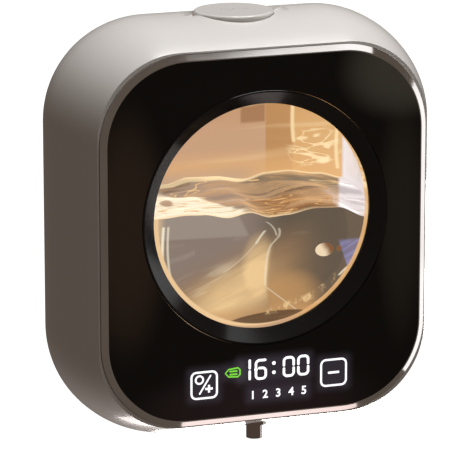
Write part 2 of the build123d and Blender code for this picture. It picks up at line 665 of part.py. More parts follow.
def gear(centre_depth, turn):
    """A spur gear on an axis along X, with involute flanks and a shaft bore."""
    alpha = math.radians(PRESSURE_ANGLE)
    base = GEAR_PITCH_RADIUS * math.cos(alpha)
    root = GEAR_PITCH_RADIUS - 1.25 * GEAR_MODULE

    def involute(angle):
        return math.tan(angle) - angle

    half = math.pi / (2 * GEAR_TEETH) - GEAR_BACKLASH / (4 * GEAR_PITCH_RADIUS)
    steps = 5
    flank = []
    for step in range(steps):
        radius = base + (GEAR_TIP_RADIUS - base) * step / (steps - 1)
        angle = half + involute(alpha) - involute(math.acos(base / radius))
        flank.append((radius, angle))

    def polar(radius, angle):
        return (radius * math.cos(angle), radius * math.sin(angle))

    pitch = 2 * math.pi / GEAR_TEETH
    edges = []
    for tooth in range(GEAR_TEETH):
        middle = tooth * pitch + turn
        rise = [polar(radius, middle - angle) for radius, angle in flank]
        fall = [polar(radius, middle + angle) for radius, angle in reversed(flank)]
        root_in = polar(root, middle - flank[0][1])
        root_out = polar(root, middle + flank[0][1])
        next_in = polar(root, middle + pitch - flank[0][1])
        edges.append(Line(root_in, rise[0]))
        edges.append(Spline(*rise))
        edges.append(ThreePointArc(rise[-1], polar(GEAR_TIP_RADIUS, middle), fall[0]))
        edges.append(Spline(*fall))
        edges.append(Line(fall[-1], root_out))
        edges.append(ThreePointArc(root_out, polar(root, middle + pitch / 2), next_in))
    plane = Plane(
        origin=(-GEAR_WIDTH / 2, y_at(centre_depth), PUMP_HEIGHT), x_dir=(0, 1, 0), z_dir=(1, 0, 0)
    )
    blank = extrude(plane * make_face(edges), GEAR_WIDTH)
    return blank - rod_x(SHAFT_RADIUS + RUNNING / 5, (-20, 20), centre_depth, PUMP_HEIGHT)


def drive_gear():
    return gear(PUMP_DEPTH, 0)


def driven_gear():
    """Turned half a tooth, so that a gap faces the drive gear's tooth."""
    return gear(PUMP_DEPTH + GEAR_CENTRES, math.pi / GEAR_TEETH)


def motor_shaft():
    return rod_x(SHAFT_RADIUS, (MOTOR_FACE - 6, PUMP_X[1] - 0.6), PUMP_DEPTH, PUMP_HEIGHT)


def driven_shaft():
    x = (MOTOR_FACE + 0.4, PUMP_X[1] - 0.6)
    return rod_x(SHAFT_RADIUS, x, PUMP_DEPTH + GEAR_CENTRES, PUMP_HEIGHT)


def pump_bores(x, radius):
    """Two cylinders on the gears' axes."""
    first = rod_x(radius, x, PUMP_DEPTH, PUMP_HEIGHT)
    return first + rod_x(radius, x, PUMP_DEPTH + GEAR_CENTRES, PUMP_HEIGHT)


def pump_corners():
    inset = 1.8
    depths = (PUMP_FRONT + inset, PUMP_REAR - inset)
    heights = (PUMP_BASE + inset, PUMP_TOP - inset)
    return [(depth, z) for depth in depths for z in heights]


def pump_body():
    body = block(PUMP_X, (PUMP_FRONT, PUMP_REAR), (PUMP_BASE, PUMP_TOP))
    lower = (OUTLET_HEIGHT - 2.4, PUMP_BASE + 1)
    body += block(PUMP_X, (PUMP_FRONT, MESH_DEPTH + 3), lower)
    spigot = PUMP_FRONT - OUTLET_SPIGOTS[1] * OUTLET_GAP
    body += rod_y(SPIGOT_RADIUS, 0, (spigot, PUMP_FRONT + 1), OUTLET_HEIGHT)
    body += rod_z(SPIGOT_RADIUS, 0, MESH_DEPTH, (PUMP_TOP - 1, PUMP_TOP + SPIGOT_LENGTH))
    body -= pump_bores((PUMP_X[0] - 1, PUMP_X[0] + CAVITY_WIDTH), CAVITY_RADIUS)
    body -= pump_bores((0, PUMP_X[1] - 0.5), SHAFT_RADIUS + RUNNING)
    body -= rod_z(PORT_RADIUS, 0, MESH_DEPTH, (PUMP_HEIGHT, PUMP_TOP + 5))
    body -= rod_z(PORT_RADIUS, 0, MESH_DEPTH, (OUTLET_HEIGHT, PUMP_HEIGHT))
    body -= rod_y(PORT_RADIUS, 0, (spigot - 1, MESH_DEPTH), OUTLET_HEIGHT)
    for depth, z in pump_corners():
        body -= rod_x(PUMP_SCREW[0] + PILOT, (PUMP_X[0] - 1, PUMP_X[1] + 1), depth, z)
    return body


def pump_cover():
    x = (MOTOR_FACE, PUMP_X[0])
    cover = block(x, (PUMP_FRONT, PUMP_REAR), (PUMP_BASE, PUMP_TOP))
    cover -= pump_bores((x[0] - 1, x[1] + 1), SHAFT_RADIUS + RUNNING)
    for depth, z in pump_corners():
        cover -= rod_x(PUMP_SCREW[0] + PILOT, (x[0] + 0.4, x[1] + 1), depth, z)
    return cover


def pump_screws():
    screws = Part()
    for depth, z in pump_corners():
        screws += rod_x(PUMP_SCREW[0], (MOTOR_FACE + 0.6, PUMP_X[1]), depth, z)
        screws += rod_x(PUMP_SCREW[1], (PUMP_X[1], PUMP_X[1] + HEAD_THICKNESS), depth, z)
    return screws


def pump_motor():
    x = (MOTOR_FACE - MOTOR_LENGTH, MOTOR_FACE)
    can = rod_x(MOTOR_RADIUS, x, PUMP_DEPTH, PUMP_HEIGHT)
    can = fillet(can.edges().group_by(Axis.X)[0], 1.2)
    can += rod_x(3, (x[0] - 1.5, x[0] + 1), PUMP_DEPTH, PUMP_HEIGHT)
    bore = (MOTOR_FACE - 6.5, MOTOR_FACE + 1)
    return can - rod_x(SHAFT_RADIUS + RUNNING, bore, PUMP_DEPTH, PUMP_HEIGHT)


def suction_hose():
    z = (PUMP_TOP + 0.2, TANK_BOTTOM - 0.2)
    outer = rod_z(SPIGOT_RADIUS + HOSE_WALL, 0, MESH_DEPTH, z)
    return outer - rod_z(SPIGOT_RADIUS, 0, MESH_DEPTH, (z[0] - 1, z[1] + 1))


def delivery_hose():
    depth = (NOZZLE_DEPTH + NOZZLE_RADIUS + 0.2, PUMP_FRONT - 0.2)
    outer = rod_y(SPIGOT_RADIUS + HOSE_WALL, 0, depth, OUTLET_HEIGHT)
    return outer - rod_y(SPIGOT_RADIUS, 0, (depth[0] - 1, depth[1] + 1), OUTLET_HEIGHT)


def sensor_window():
    return sensor_slot(FIT, (-HOUSING_TOP, sensor_top())) & housing_solid()


def sensor_top():
    """The height of the sensor window's flat inner face."""
    return -(PANEL_HEIGHT / 2 + flank_offset(SENSOR_DEPTH - SENSOR_WIDTH / 2) - WALL - 0.8)


def sensor_eye(x):
    return rod_z(EYE_RADIUS, x, SENSOR_DEPTH, (sensor_top(), sensor_top() + EYE_HEIGHT))


def sensor_board():
    base = sensor_top() + EYE_HEIGHT
    z = (base, base + BOARD_THICKNESS)
    x = (SENSOR_X - SENSOR_LENGTH / 2, SENSOR_X + SENSOR_LENGTH / 2)
    half = SENSOR_BOARD_WIDTH / 2
    return block(x, (SENSOR_DEPTH - half, SENSOR_DEPTH + half), z)


def light_box():
    box = block((-15.5, 16.5), (PANEL_BACK, LIGHT_BOX_BACK), (BASE + 3.5, BASE + 17.9))
    cells = (PANEL_BACK - 1, LIGHT_BOX_BACK - 1)
    for low, high in ((-14.5, -7.5), (-6.5, -0.5), (1.0, 4.0), (5.0, 10.0), (10.8, 15.5)):
        box -= block((low, high), cells, (BASE + 10, BASE + 17.1))
    for index in range(5):
        x = -4.6 + 4.4 * index
        box -= block((x - 1.4, x + 1.4), cells, (BASE + 4.3, BASE + 7.9))
    return box


def display_board():
    depth = (LIGHT_BOX_BACK, LIGHT_BOX_BACK + BOARD_THICKNESS)
    return block((-26, 29), depth, (BASE + 3.5, BOARD_TOP))


def touch_springs():
    """Two sleeves that carry the touch squares from the display board to the panel."""
    springs = Part()
    for x in (TOUCH_LEFT, TOUCH_RIGHT):
        depth = (PANEL_BACK, LIGHT_BOX_BACK)
        ring = rod_y(TOUCH_SLEEVE[1], x, depth, TOUCH_HEIGHT)
        springs += ring - rod_y(TOUCH_SLEEVE[0], x, (0, LIGHT_BOX_BACK + 1), TOUCH_HEIGHT)
    return springs


def board_depth():
    return (TANK_BACK - 0.5, TANK_BACK - 0.5 + BOARD_THICKNESS)


def main_board():
    board = block((-30, 30), board_depth(), (BASE - 1.5, BOARD_TOP))
    for x in POST_X:
        board -= rod_y(BOARD_SCREW[0] + LOOSE, x, (0, TOTAL_DEPTH), BOARD_MIDDLE)
    return board


def board_posts():
    """Two posts that hold the main board off the rear cover."""
    posts = Part()
    depth = (board_depth()[1], TOTAL_DEPTH + COVER_INNER_Y)
    for x in POST_X:
        post = rod_y(POST_RADIUS, x, depth, BOARD_MIDDLE)
        hole = rod_y(BOARD_SCREW[0] + FIT, x, (depth[0] - 1, depth[1] - 1), BOARD_MIDDLE)
        posts += post - hole
    return posts


def board_screws():
    screws = Part()
    front = board_depth()[0]
    for x in POST_X:
        screws += rod_y(BOARD_SCREW[0], x, (front, front + 5), BOARD_MIDDLE)
        screws += rod_y(BOARD_SCREW[1], x, (front - HEAD_THICKNESS, front), BOARD_MIDDLE)
    return screws


def board_components():
    """The chips, coil and motor socket on the main board's front, and the battery's on its back."""
    front = board_depth()[0]
    socket = (PUMP_HEIGHT - 7.5, PUMP_HEIGHT - 3.5)
    parts = [
        ((-20, -14), 1.2, (BOARD_TOP - 9, BOARD_TOP - 3)),
        ((-12, -8), 1.0, (BOARD_TOP - 7, BOARD_TOP - 4)),
        ((10, 15), 2.6, (BOARD_TOP - 12, BOARD_TOP - 7)),
        ((18, 22), 1.4, (BOARD_TOP - 7, BOARD_TOP - 4)),
        ((-21, -16), 3.0, socket),
    ]
    group = Part()
    for x, height, z in parts:
        group += block(x, (front - height, front), z)
    back = board_depth()[1]
    return group + block((13, 18), (back, back + 3), BATTERY_SOCKET)


def battery_pad():
    size = BATTERY_SIZE
    z = (BATTERY_BOTTOM + 5, BATTERY_BOTTOM + size[2] - 5)
    return block((4 - size[0] / 2, size[0] / 2 - 4), (TANK_BACK, TANK_BACK + BATTERY_PAD), z)


def battery_cell():
    front = TANK_BACK + BATTERY_PAD
    width, thickness, height = BATTERY_SIZE
    z = (BATTERY_BOTTOM, BATTERY_BOTTOM + height)
    cell = block((-width / 2, width / 2), (front, front + thickness), z)
    return fillet(cell.edges().filter_by(Axis.Z), 2.0)


def lead(points, bends, radius):
    """A round lead along straight runs and tangent arcs; points are (x, depth, z)."""
    path = FilletPolyline(*[(x, y_at(depth), z) for x, depth, z in points], radius=bends)
    start = Plane(origin=path @ 0, z_dir=path % 0)
    return sweep(start * Circle(radius), path=path)


def battery_leads():
    """Two straight leads from the cell's lower edge down to the socket on the board's back."""
    leads = Part()
    depth = board_depth()[1] + 1.5
    for x in LEAD_X:
        leads += rod_z(LEAD_RADIUS, x, depth, (BATTERY_SOCKET[1], BATTERY_BOTTOM))
    return leads


def motor_leads():
    """Two leads from the motor's tail, back to the socket on the board."""
    leads = Part()
    tail = MOTOR_FACE - MOTOR_LENGTH
    for shift in (-LEAD_SPREAD, LEAD_SPREAD):
        z = PUMP_HEIGHT - 5 + shift
        end = board_depth()[0] - 1.5
        points = [(tail, PUMP_DEPTH, z), (tail - 8, PUMP_DEPTH, z), (tail - 8, end, z), (-21, end, z)]
        leads += lead(points, [3.6, 7.5], LEAD_RADIUS)
    return leads


def display_ribbon():
    """A flat ribbon from the display board, back over the pump, to the main board."""
    first = LIGHT_BOX_BACK + BOARD_THICKNESS
    return block((-26, -18), (first, board_depth()[0]), (BOARD_TOP - 1.3, BOARD_TOP - 1.0))


PARTS = {
    "wall_bracket": wall_bracket,
    "housing_shell": housing_shell,
    "rear_cover": rear_cover,
    "rear_gasket": rear_gasket,
    "rear_screws": rear_screws,
    "bezel_ring": bezel_ring,
    "front_panel": front_panel,
    "window_ring": window_ring,
    "window_lens": window_lens,
    "lens_gasket": lens_gasket,
    "tank_body": tank_body,
    "tank_neck": tank_neck,
    "tank_back": tank_back,
    "tank_screws": tank_screws,
    "liquid_soap": liquid_soap,
    "neck_seal": neck_seal,
    "filler_cap": filler_cap,
    "cap_oring": cap_oring,
    "light_box": light_box,
    "display_board": display_board,
    "touch_springs": touch_springs,
    "display_ribbon": display_ribbon,
    "main_board": main_board,
    "board_components": board_components,
    "board_posts": board_posts,
    "board_screws": board_screws,
    "battery_pad": battery_pad,
    "battery_cell": battery_cell,
    "battery_leads": battery_leads,
    "usb_port": usb_port,
    "usb_flap": usb_flap,
    "pump_body": pump_body,
    "pump_cover": pump_cover,
    "pump_screws": pump_screws,
    "pump_motor": pump_motor,
    "motor_leads": motor_leads,
    "motor_shaft": motor_shaft,
    "drive_gear": drive_gear,
    "driven_gear": driven_gear,
    "driven_shaft": driven_shaft,
    "suction_hose": suction_hose,
    "delivery_hose": delivery_hose,
    "nozzle_body": nozzle_body,
    "nozzle_collar": nozzle_collar,
    "foam_mesh": foam_mesh,
    "sensor_window": sensor_window,
    "sensor_board": sensor_board,
}

os.makedirs("parts", exist_ok=True)
for name, make in PARTS.items():
    export_step(make(), f"parts/{name}.step")
for name, x in (("sensor_emitter", SENSOR_X - EYE_SPREAD), ("sensor_receiver", SENSOR_X + EYE_SPREAD)):
    export_step(sensor_eye(x), f"parts/{name}.step")
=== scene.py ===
import json
import math

import bmesh
import bpy
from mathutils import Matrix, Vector


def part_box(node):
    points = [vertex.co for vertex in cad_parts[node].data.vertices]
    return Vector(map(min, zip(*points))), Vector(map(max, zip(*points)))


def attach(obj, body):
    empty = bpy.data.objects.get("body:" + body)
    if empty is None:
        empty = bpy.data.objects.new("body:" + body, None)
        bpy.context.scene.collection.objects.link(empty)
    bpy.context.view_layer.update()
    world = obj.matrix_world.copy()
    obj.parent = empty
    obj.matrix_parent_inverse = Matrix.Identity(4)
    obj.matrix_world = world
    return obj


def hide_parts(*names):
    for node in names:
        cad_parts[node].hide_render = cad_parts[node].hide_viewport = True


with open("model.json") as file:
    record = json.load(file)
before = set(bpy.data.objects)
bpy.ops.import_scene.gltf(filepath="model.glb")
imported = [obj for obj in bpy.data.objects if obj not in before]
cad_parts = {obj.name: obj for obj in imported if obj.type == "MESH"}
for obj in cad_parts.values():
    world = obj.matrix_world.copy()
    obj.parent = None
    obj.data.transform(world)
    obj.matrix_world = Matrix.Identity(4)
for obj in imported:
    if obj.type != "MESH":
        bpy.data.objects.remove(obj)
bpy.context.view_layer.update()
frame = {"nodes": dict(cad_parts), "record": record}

mm = 0.001
print("frame loaded:", len(frame["nodes"]), "nodes")


# where things are, from the frame
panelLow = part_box("front_panel")[0]
soapLow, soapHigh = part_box("liquid_soap")
capLow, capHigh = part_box("filler_cap")
faceY = panelLow.y                              # the front panel's face
baseZ = panelLow.z                              # the front panel's lower edge


# shader sums
class Signal:
    # one socket of a paint's node tree; sums on it add nodes
    def __init__(self, paint, socket):
        self.paint = paint
        self.socket = socket

    def join(self, other, operation, blend, flipped=False):
        first, second = (other, self) if flipped else (self, other)
        kinds = [part.socket.type for part in (first, second) if isinstance(part, Signal)]
        if "RGBA" in kinds:
            return self.paint.mix(1.0, first, second, blend)
        if "VECTOR" in kinds:
            sockets = {0: spread(first), 1: spread(second)}
            return self.paint.node("ShaderNodeVectorMath", {"operation": operation}, sockets)
        return self.paint.node("ShaderNodeMath", {"operation": operation}, {0: first, 1: second})

    def __add__(self, other):
        return self.join(other, "ADD", "ADD")

    def __radd__(self, other):
        return self.join(other, "ADD", "ADD", True)

    def __sub__(self, other):
        return self.join(other, "SUBTRACT", "SUBTRACT")

    def __rsub__(self, other):
        return self.join(other, "SUBTRACT", "SUBTRACT", True)

    def __mul__(self, other):
        return self.join(other, "MULTIPLY", "MULTIPLY")

    def __rmul__(self, other):
        return self.join(other, "MULTIPLY", "MULTIPLY", True)

    def __truediv__(self, other):
        return self.join(other, "DIVIDE", "DIVIDE")

    def __rtruediv__(self, other):
        return self.join(other, "DIVIDE", "DIVIDE", True)

    def __pow__(self, other):
        return self.paint.node("ShaderNodeMath", {"operation": "POWER"}, {0: self, 1: other})

    def __abs__(self):
        return self.paint.node("ShaderNodeMath", {"operation": "ABSOLUTE"}, {0: self})

    def atLeast(self, other):
        return self.paint.node("ShaderNodeMath", {"operation": "MAXIMUM"}, {0: self, 1: other})

    def atMost(self, other):
        return self.paint.node("ShaderNodeMath", {"operation": "MINIMUM"}, {0: self, 1: other})

    def step(self, low, high):
        # 0 below low, 1 above high, smooth between
        settings = {"interpolation_type": "SMOOTHSTEP", "clamp": True}
        sockets = {"Value": self, "From Min": low, "From Max": high}
        return self.paint.node("ShaderNodeMapRange", settings, sockets)

    def part(self, index):
        return self.paint.node("ShaderNodeSeparateXYZ", {}, {0: self}, index)


def spread(value):
    # a plain number becomes a vector of it
    return (value,) * 3 if isinstance(value, (int, float)) else value


class Paint:
    # one material and its node tree
    def __init__(self, name):
        self.material = bpy.data.materials.new(name)
        self.material.use_nodes = True
        self.tree = self.material.node_tree
        self.tree.nodes.clear()

    def node(self, kind, settings, sockets, output=0):
        made = self.tree.nodes.new(kind)
        for key, value in settings.items():
            if key == "bends":
                self.setBends(made.mapping, value)
            else:
                setattr(made, key, value)
        for key, value in sockets.items():
            if isinstance(value, Signal):
                self.tree.links.new(value.socket, made.inputs[key])
            else:
                made.inputs[key].default_value = value
        return Signal(self, made.outputs[output]) if made.outputs else None

    def setBends(self, mapping, bends):
        # the points of a curve that starts with two
        points = mapping.curves[0].points
        points[0].location, points[-1].location = bends[0], bends[-1]
        for place in bends[1:-1]:
            points.new(*place)
        mapping.update()

    def mix(self, factor, first, second, blend="MIX"):
        settings = {"data_type": "RGBA", "blend_type": blend}
        sockets = {0: factor, 6: asColour(first), 7: asColour(second)}
        return self.node("ShaderNodeMix", settings, sockets, 2)

    def place(self, scale=(1, 1, 1), offset=(0, 0, 0)):
        # object coordinates in metres, scaled then shifted
        spot = self.node("ShaderNodeTexCoord", {}, {}, "Object")
        return self.node("ShaderNodeMapping", {}, {"Vector": spot, "Location": offset, "Scale": scale})

    def millimetres(self, offset=(0, 0, 0)):
        # object coordinates in millimetres, shifted
        return self.place((1 / mm,) * 3, offset)

    def noise(self, scale, detail=2.0, rough=0.5, stretch=(1, 1, 1), offset=(0, 0, 0), warp=0.0):
        sockets = {"Vector": self.place(stretch, offset), "Scale": scale, "Detail": detail}
        sockets.update({"Roughness": rough, "Distortion": warp})
        return self.node("ShaderNodeTexNoise", {}, sockets, "Fac")

    def bump(self, height, strength, distance):
        return self.node(
            "ShaderNodeBump", {}, {"Height": height, "Strength": strength, "Distance": distance}
        )

    def follow(self, along, line):
        # the height of a smooth line through (along, height) points
        low, high = line[0][0], line[-1][0]
        bottom = min(height for place, height in line) - 1
        span = max(height for place, height in line) + 1 - bottom
        bends = [((place - low) / (high - low), (height - bottom) / span) for place, height in line]
        share = (along - low) / (high - low)
        return self.node("ShaderNodeFloatCurve", {"bends": bends}, {"Value": share}) * span + bottom

    def streak(self, along, across, line, width, soft):
        # 1 on a smooth line with soft sides and ends, 0 away from it
        gap = abs(across - self.follow(along, line))
        ends = along.step(line[0][0], line[0][0] + soft) - along.step(line[-1][0] - soft, line[-1][0])
        return (1 - gap.step(width / 2, width / 2 + soft)) * ends

    def blob(self, x, z, centre, radii, core=0.2):
        # 1 at the centre of an ellipse, fading to 0 at its edge
        across, up = (x - centre[0]) / radii[0], (z - centre[1]) / radii[1]
        return 1 - (across * across + up * up).step(core, 1.0)

    def surface(self, **sockets):
        names = {key.replace("_", " "): value for key, value in sockets.items()}
        return self.node("ShaderNodeBsdfPrincipled", {}, names)

    def lit(self, colour, shade, **sockets):
        # a finish that glows with its own colour as painted light, and has a little of it as paint
        return self.finish(
            self.surface(
                Base_Color=colour * shade, Emission_Color=colour, Emission_Strength=1.0, **sockets
            )
        )

    def finish(self, shader):
        self.node("ShaderNodeOutputMaterial", {}, {"Surface": shader})
        return self.material


def tone(red, green, blue):
    # a lit colour, from the 0 to 255 values a screen shows it with
    shares = [part / 255 for part in (red, green, blue)]
    return tuple(part / 12.92 if part < 0.04045 else ((part + 0.055) / 1.055) ** 2.4 for part in shares)


def asColour(value):
    if isinstance(value, (int, float)):
        return (value, value, value, 1.0)
    if isinstance(value, Signal) or len(value) == 4:
        return value
    return (*value, 1.0)


# finishes
plasticIor = 1.5
coatRough = 0.05
grainDepth = 0.02 * mm
scratchDepth = 0.01 * mm
# what every moulded or metal finish starts from, and its own entry changes
mouldedLook = {"cloud": 0.04, "cloudScale": 30, "grainScale": 2500, "roughSwing": 0.06,
               "bump": 0.1, "coat": 0.0}
metalLook = {"lineScale": 900, "stretch": (1, 1, 0.05), "roughSwing": 0.12, "bump": 0.06,
             "tarnish": 0.82}


def moulded(name, own):
    # moulded plastic or rubber: fine grain and a little cloudiness
    look = {**mouldedLook, **own}
    paint = Paint(name)
    cloud = paint.noise(look["cloudScale"], 3)
    grain = paint.noise(look["grainScale"], 2)
    dark = tuple(part * (1 - look["cloud"]) for part in look["colour"])
    colour = paint.mix(cloud.step(0.3, 0.7), dark, look["colour"])
    rough = look["rough"] + (cloud - 0.5) * look["roughSwing"]
    shader = paint.surface(
        Base_Color=colour,
        Roughness=rough,
        Coat_Weight=look["coat"],
        Coat_Roughness=coatRough,
        IOR=plasticIor,
        Normal=paint.bump(grain, look["bump"], grainDepth),
    )
    return paint.finish(shader)


def metal(name, own):
    # drawn or plated metal: long fine scratches along one axis, and soft tarnish
    look = {**metalLook, **own}
    paint = Paint(name)
    lines = paint.noise(look["lineScale"], 3, 0.6, look["stretch"])
    tarnish = paint.noise(60, 3)
    dark = tuple(part * look["tarnish"] for part in look["colour"])
    colour = paint.mix(tarnish.step(0.35, 0.75), look["colour"], dark)
    rough = look["rough"] + (lines - 0.5) * look["roughSwing"]
    normal = paint.bump(lines, look["bump"], scratchDepth)
    shader = paint.surface(Base_Color=colour, Roughness=rough, Metallic=1.0, Normal=normal)
    return paint.finish(shader)


finishes = {
    "white_shell": (moulded, {"colour": (0.86, 0.845, 0.83), "rough": 0.24, "cloud": 0.02,
                              "cloudScale": 18, "roughSwing": 0.05, "bump": 0.05, "coat": 0.35}),
    "rear_plastic": (moulded, {"colour": (0.80, 0.80, 0.79), "rough": 0.5, "bump": 0.3}),
    "light_box_white": (moulded, {"colour": (0.88, 0.88, 0.88), "rough": 0.6}),
    "component_black": (moulded, {"colour": (0.03, 0.03, 0.032), "rough": 0.45}),
    "seal_rubber": (moulded, {"colour": (0.035, 0.035, 0.035), "rough": 0.7, "bump": 0.3}),
    "flap_rubber": (moulded, {"colour": (0.78, 0.77, 0.75), "rough": 0.55, "bump": 0.25}),
    "hose_silicone": (moulded, {"colour": (0.80, 0.80, 0.76), "rough": 0.4}),
    "pump_plastic": (moulded, {"colour": (0.62, 0.63, 0.64), "rough": 0.45}),
    "gear_plastic": (moulded, {"colour": (0.82, 0.79, 0.68), "rough": 0.4}),
    "pad_foam": (moulded, {"colour": (0.05, 0.05, 0.05), "rough": 0.9, "bump": 0.5}),
    "lead_insulation": (moulded, {"colour": (0.45, 0.02, 0.02), "rough": 0.45}),
    "ribbon_film": (moulded, {"colour": (0.75, 0.55, 0.22), "rough": 0.3}),
    "dark_filter": (moulded, {"colour": (0.02, 0.008, 0.01), "rough": 0.08, "coat": 0.5}),
    "sensor_resin": (moulded, {"colour": (0.03, 0.03, 0.05), "rough": 0.15}),
    "screw_steel": (metal, {"colour": (0.60, 0.60, 0.60), "rough": 0.32}),
    "shaft_steel": (metal, {"colour": (0.66, 0.66, 0.67), "rough": 0.18, "stretch": (0.05, 1, 1)}),
    "motor_can": (metal, {"colour": (0.62, 0.62, 0.63), "rough": 0.3, "stretch": (0.05, 1, 1)}),
    "port_metal": (metal, {"colour": (0.58, 0.58, 0.6), "rough": 0.28}),
    "spring_brass": (metal, {"colour": (0.75, 0.52, 0.22), "rough": 0.28}),
    "mesh_steel": (metal, {"colour": (0.55, 0.55, 0.55), "rough": 0.4}),
    "pouch_foil": (metal, {"colour": (0.66, 0.67, 0.70), "rough": 0.38, "bump": 0.2}),
    "nozzle_metal": (metal, {"colour": (0.66, 0.56, 0.54), "rough": 0.12, "roughSwing": 0.05}),
}


bezelLook = {
    "colour": (0.90, 0.88, 0.87),
    "smeared": (0.80, 0.76, 0.74),
    "rough": 0.07,
    "smear": 0.05,
    "marks": 0.03,
}


def bezelFinish():
    # bright plated trim with faint polishing marks
    paint = Paint("bezelPlating")
    marks = paint.noise(420, 4, 0.6)
    smear = paint.noise(45, 2)
    rough = bezelLook["rough"] + (smear - 0.5) * bezelLook["smear"]
    colour = paint.mix(smear.step(0.3, 0.8), bezelLook["colour"], bezelLook["smeared"])
    normal = paint.bump(marks, bezelLook["marks"], scratchDepth)
    return paint.finish(paint.surface(Base_Color=colour, Roughness=rough, Metallic=1.0, Normal=normal))


panelLook = {
    "colour": (0.003, 0.0026, 0.0028),
    "wiped": (0.006, 0.005, 0.0045),
    "rough": 0.06,
    "smudge": 0.05,
    "ripple": 0.02,
    "rippleDepth": 0.05 * mm,
    "haloGain": 1.1,
    "halo": tone(62, 56, 66),
    "haloReach": 3.4,
    # a painted glow round what shines through the panel: centres and half sizes in millimetres from its
    # lower middle
    "haloBoxes": (
        ((-20.7, 11.0), (4.2, 4.2)), ((23.0, 11.0), (4.2, 4.2)), ((2.8, 14.4), (11.6, 3.0)),
        ((4.2, 6.3), (9.6, 1.4)), ((-11.0, 14.4), (2.4, 1.2)),
    ),
    # painted reflections of warm light at the left, right and bottom, and a painted sheen at the upper
    # right: centre, radii and colour
    "glows": (
        ((-46.0, 62.0), (16.0, 46.0), tone(31, 21, 14)),
        ((46.0, 60.0), (10.0, 46.0), tone(20, 17, 12)),
        ((46.0, 108.0), (24.0, 18.0), tone(46, 42, 36)),
        ((-4.0, 3.0), (46.0, 16.0), tone(24, 15, 16)),
    ),
}


def panelFinish():
    # polished black sheet with faint wiping smudges, and the display's light inside it painted on as a
    # glow, with painted reflections and a painted sheen
    paint = Paint("panelBlack")
    look = panelLook
    wipe = paint.noise(22, 4, 0.6, (1, 1, 2.2), warp=0.6)
    rough = look["rough"] + wipe.step(0.45, 0.8) * look["smudge"]
    colour = paint.mix(wipe, look["colour"], look["wiped"])
    spot = paint.millimetres((0, 0, -baseZ / mm))
    x, z = spot.part(0), spot.part(2)
    light = (0.0, 0.0, 0.0)
    # painted reflections and sheen, given off as light from the panel
    for centre, radii, glow in look["glows"]:
        light = paint.mix(paint.blob(x, z, centre, radii, 0.0), light, glow)
    # a painted glow round the display's marks
    halo = 0
    for centre, half in look["haloBoxes"]:
        side = (abs(x - centre[0]) - half[0]).atLeast(0.0)
        over = (abs(z - centre[1]) - half[1]).atLeast(0.0)
        near = 1 - ((side * side + over * over) ** 0.5).step(-look["haloReach"], look["haloReach"])
        halo = near + halo
    light = paint.mix((halo * look["haloGain"]).atMost(1.0), light, look["halo"])
    normal = paint.bump(paint.noise(60, 1), look["ripple"], look["rippleDepth"])
    return paint.finish(
        paint.surface(
            Base_Color=colour,
            Roughness=rough,
            IOR=plasticIor,
            Emission_Color=light,
            Emission_Strength=1.0,
            Normal=normal,
        )
    )


capLook = {
    "colour": (0.86, 0.845, 0.83),
    "cloudy": (0.84, 0.825, 0.81),
    "rough": 0.26,
    "roughSwing": 0.05,
    "coat": 0.35,
    # the raised wave, in millimetres: half its length, its height, half its reach and its soft edge
    "wave": 2.1,
    "swing": 1.3,
    "reach": 4.6,
    "fade": 0.4,
    "ridge": (0.35, 0.75),
    "relief": 0.25 * mm,
}


def capFinish():
    # the same gloss as the shell, with a faint raised wave in the middle of the cap
    paint = Paint("capGloss")
    middle = (capLow + capHigh) / 2 / mm
    look = capLook
    spot = paint.millimetres((-middle.x, -middle.y, 0))
    x, y = spot.part(0), spot.part(1)
    swing = paint.node("ShaderNodeMath", {"operation": "SINE"}, {0: x * (math.pi / look["wave"])})
    gap = abs(y - swing * look["swing"])
    within = 1 - abs(x).step(look["reach"] - look["fade"], look["reach"])
    wave = (1 - gap.step(*look["ridge"])) * within
    grain = paint.noise(2500, 2)
    cloud = paint.noise(18, 3)
    colour = paint.mix(cloud.step(0.3, 0.7), look["cloudy"], look["colour"])
    shader = paint.surface(
        Base_Color=colour,
        Roughness=look["rough"] + (cloud - 0.5) * look["roughSwing"],
        Coat_Weight=look["coat"],
        Coat_Roughness=coatRough,
        Normal=paint.bump(wave + grain * 0.03, 0.8, look["relief"]),
    )
    return paint.finish(shader)


ringLook = {"colour": (0.012, 0.011, 0.012), "rough": 0.13, "roughSwing": 0.08}


def ringFinish():
    # black moulded ring, a little softer than the panel, with fine mould marks
    paint = Paint("ringBlack")
    marks = paint.noise(700, 2)
    rough = ringLook["rough"] + (marks - 0.5) * ringLook["roughSwing"]
    colour = asColour(ringLook["colour"])
    return paint.finish(paint.surface(Base_Color=colour, Roughness=rough, IOR=plasticIor))


lensLook = {
    "ior": 1.45,
    "sheen": (1, 1, 1, 1),
    "clear": (0.985, 0.98, 0.97, 1),
    "rough": 0.03,
    "roughSwing": 0.02,
}


def lensFinish():
    # clear sheet: lets light straight through from the front, with a faint mirror sheen;
    # from more than about 44 degrees to the side its inner face mirrors instead
    look = lensLook
    paint = Paint("lensClear")
    facing = paint.node("ShaderNodeFresnel", {}, {"IOR": look["ior"]})
    haze = paint.noise(30, 3)
    sockets = {"Color": look["sheen"], "Roughness": look["rough"] + haze * look["roughSwing"]}
    gloss = paint.node("ShaderNodeBsdfGlossy", {}, sockets)
    clear = paint.node("ShaderNodeBsdfTransparent", {}, {"Color": look["clear"]})
    return paint.finish(paint.node("ShaderNodeMixShader", {}, {0: facing, 1: clear, 2: gloss}))


boardLook = {
    "tracks": {"Scale": 260.0, "Mortar Size": 0.05, "Color1": (0.012, 0.12, 0.05, 1),
               "Color2": (0.016, 0.15, 0.06, 1), "Mortar": (0.03, 0.24, 0.10, 1)},
    "rough": 0.3,
    "roughSwing": 0.15,
    "bump": 0.15,
}


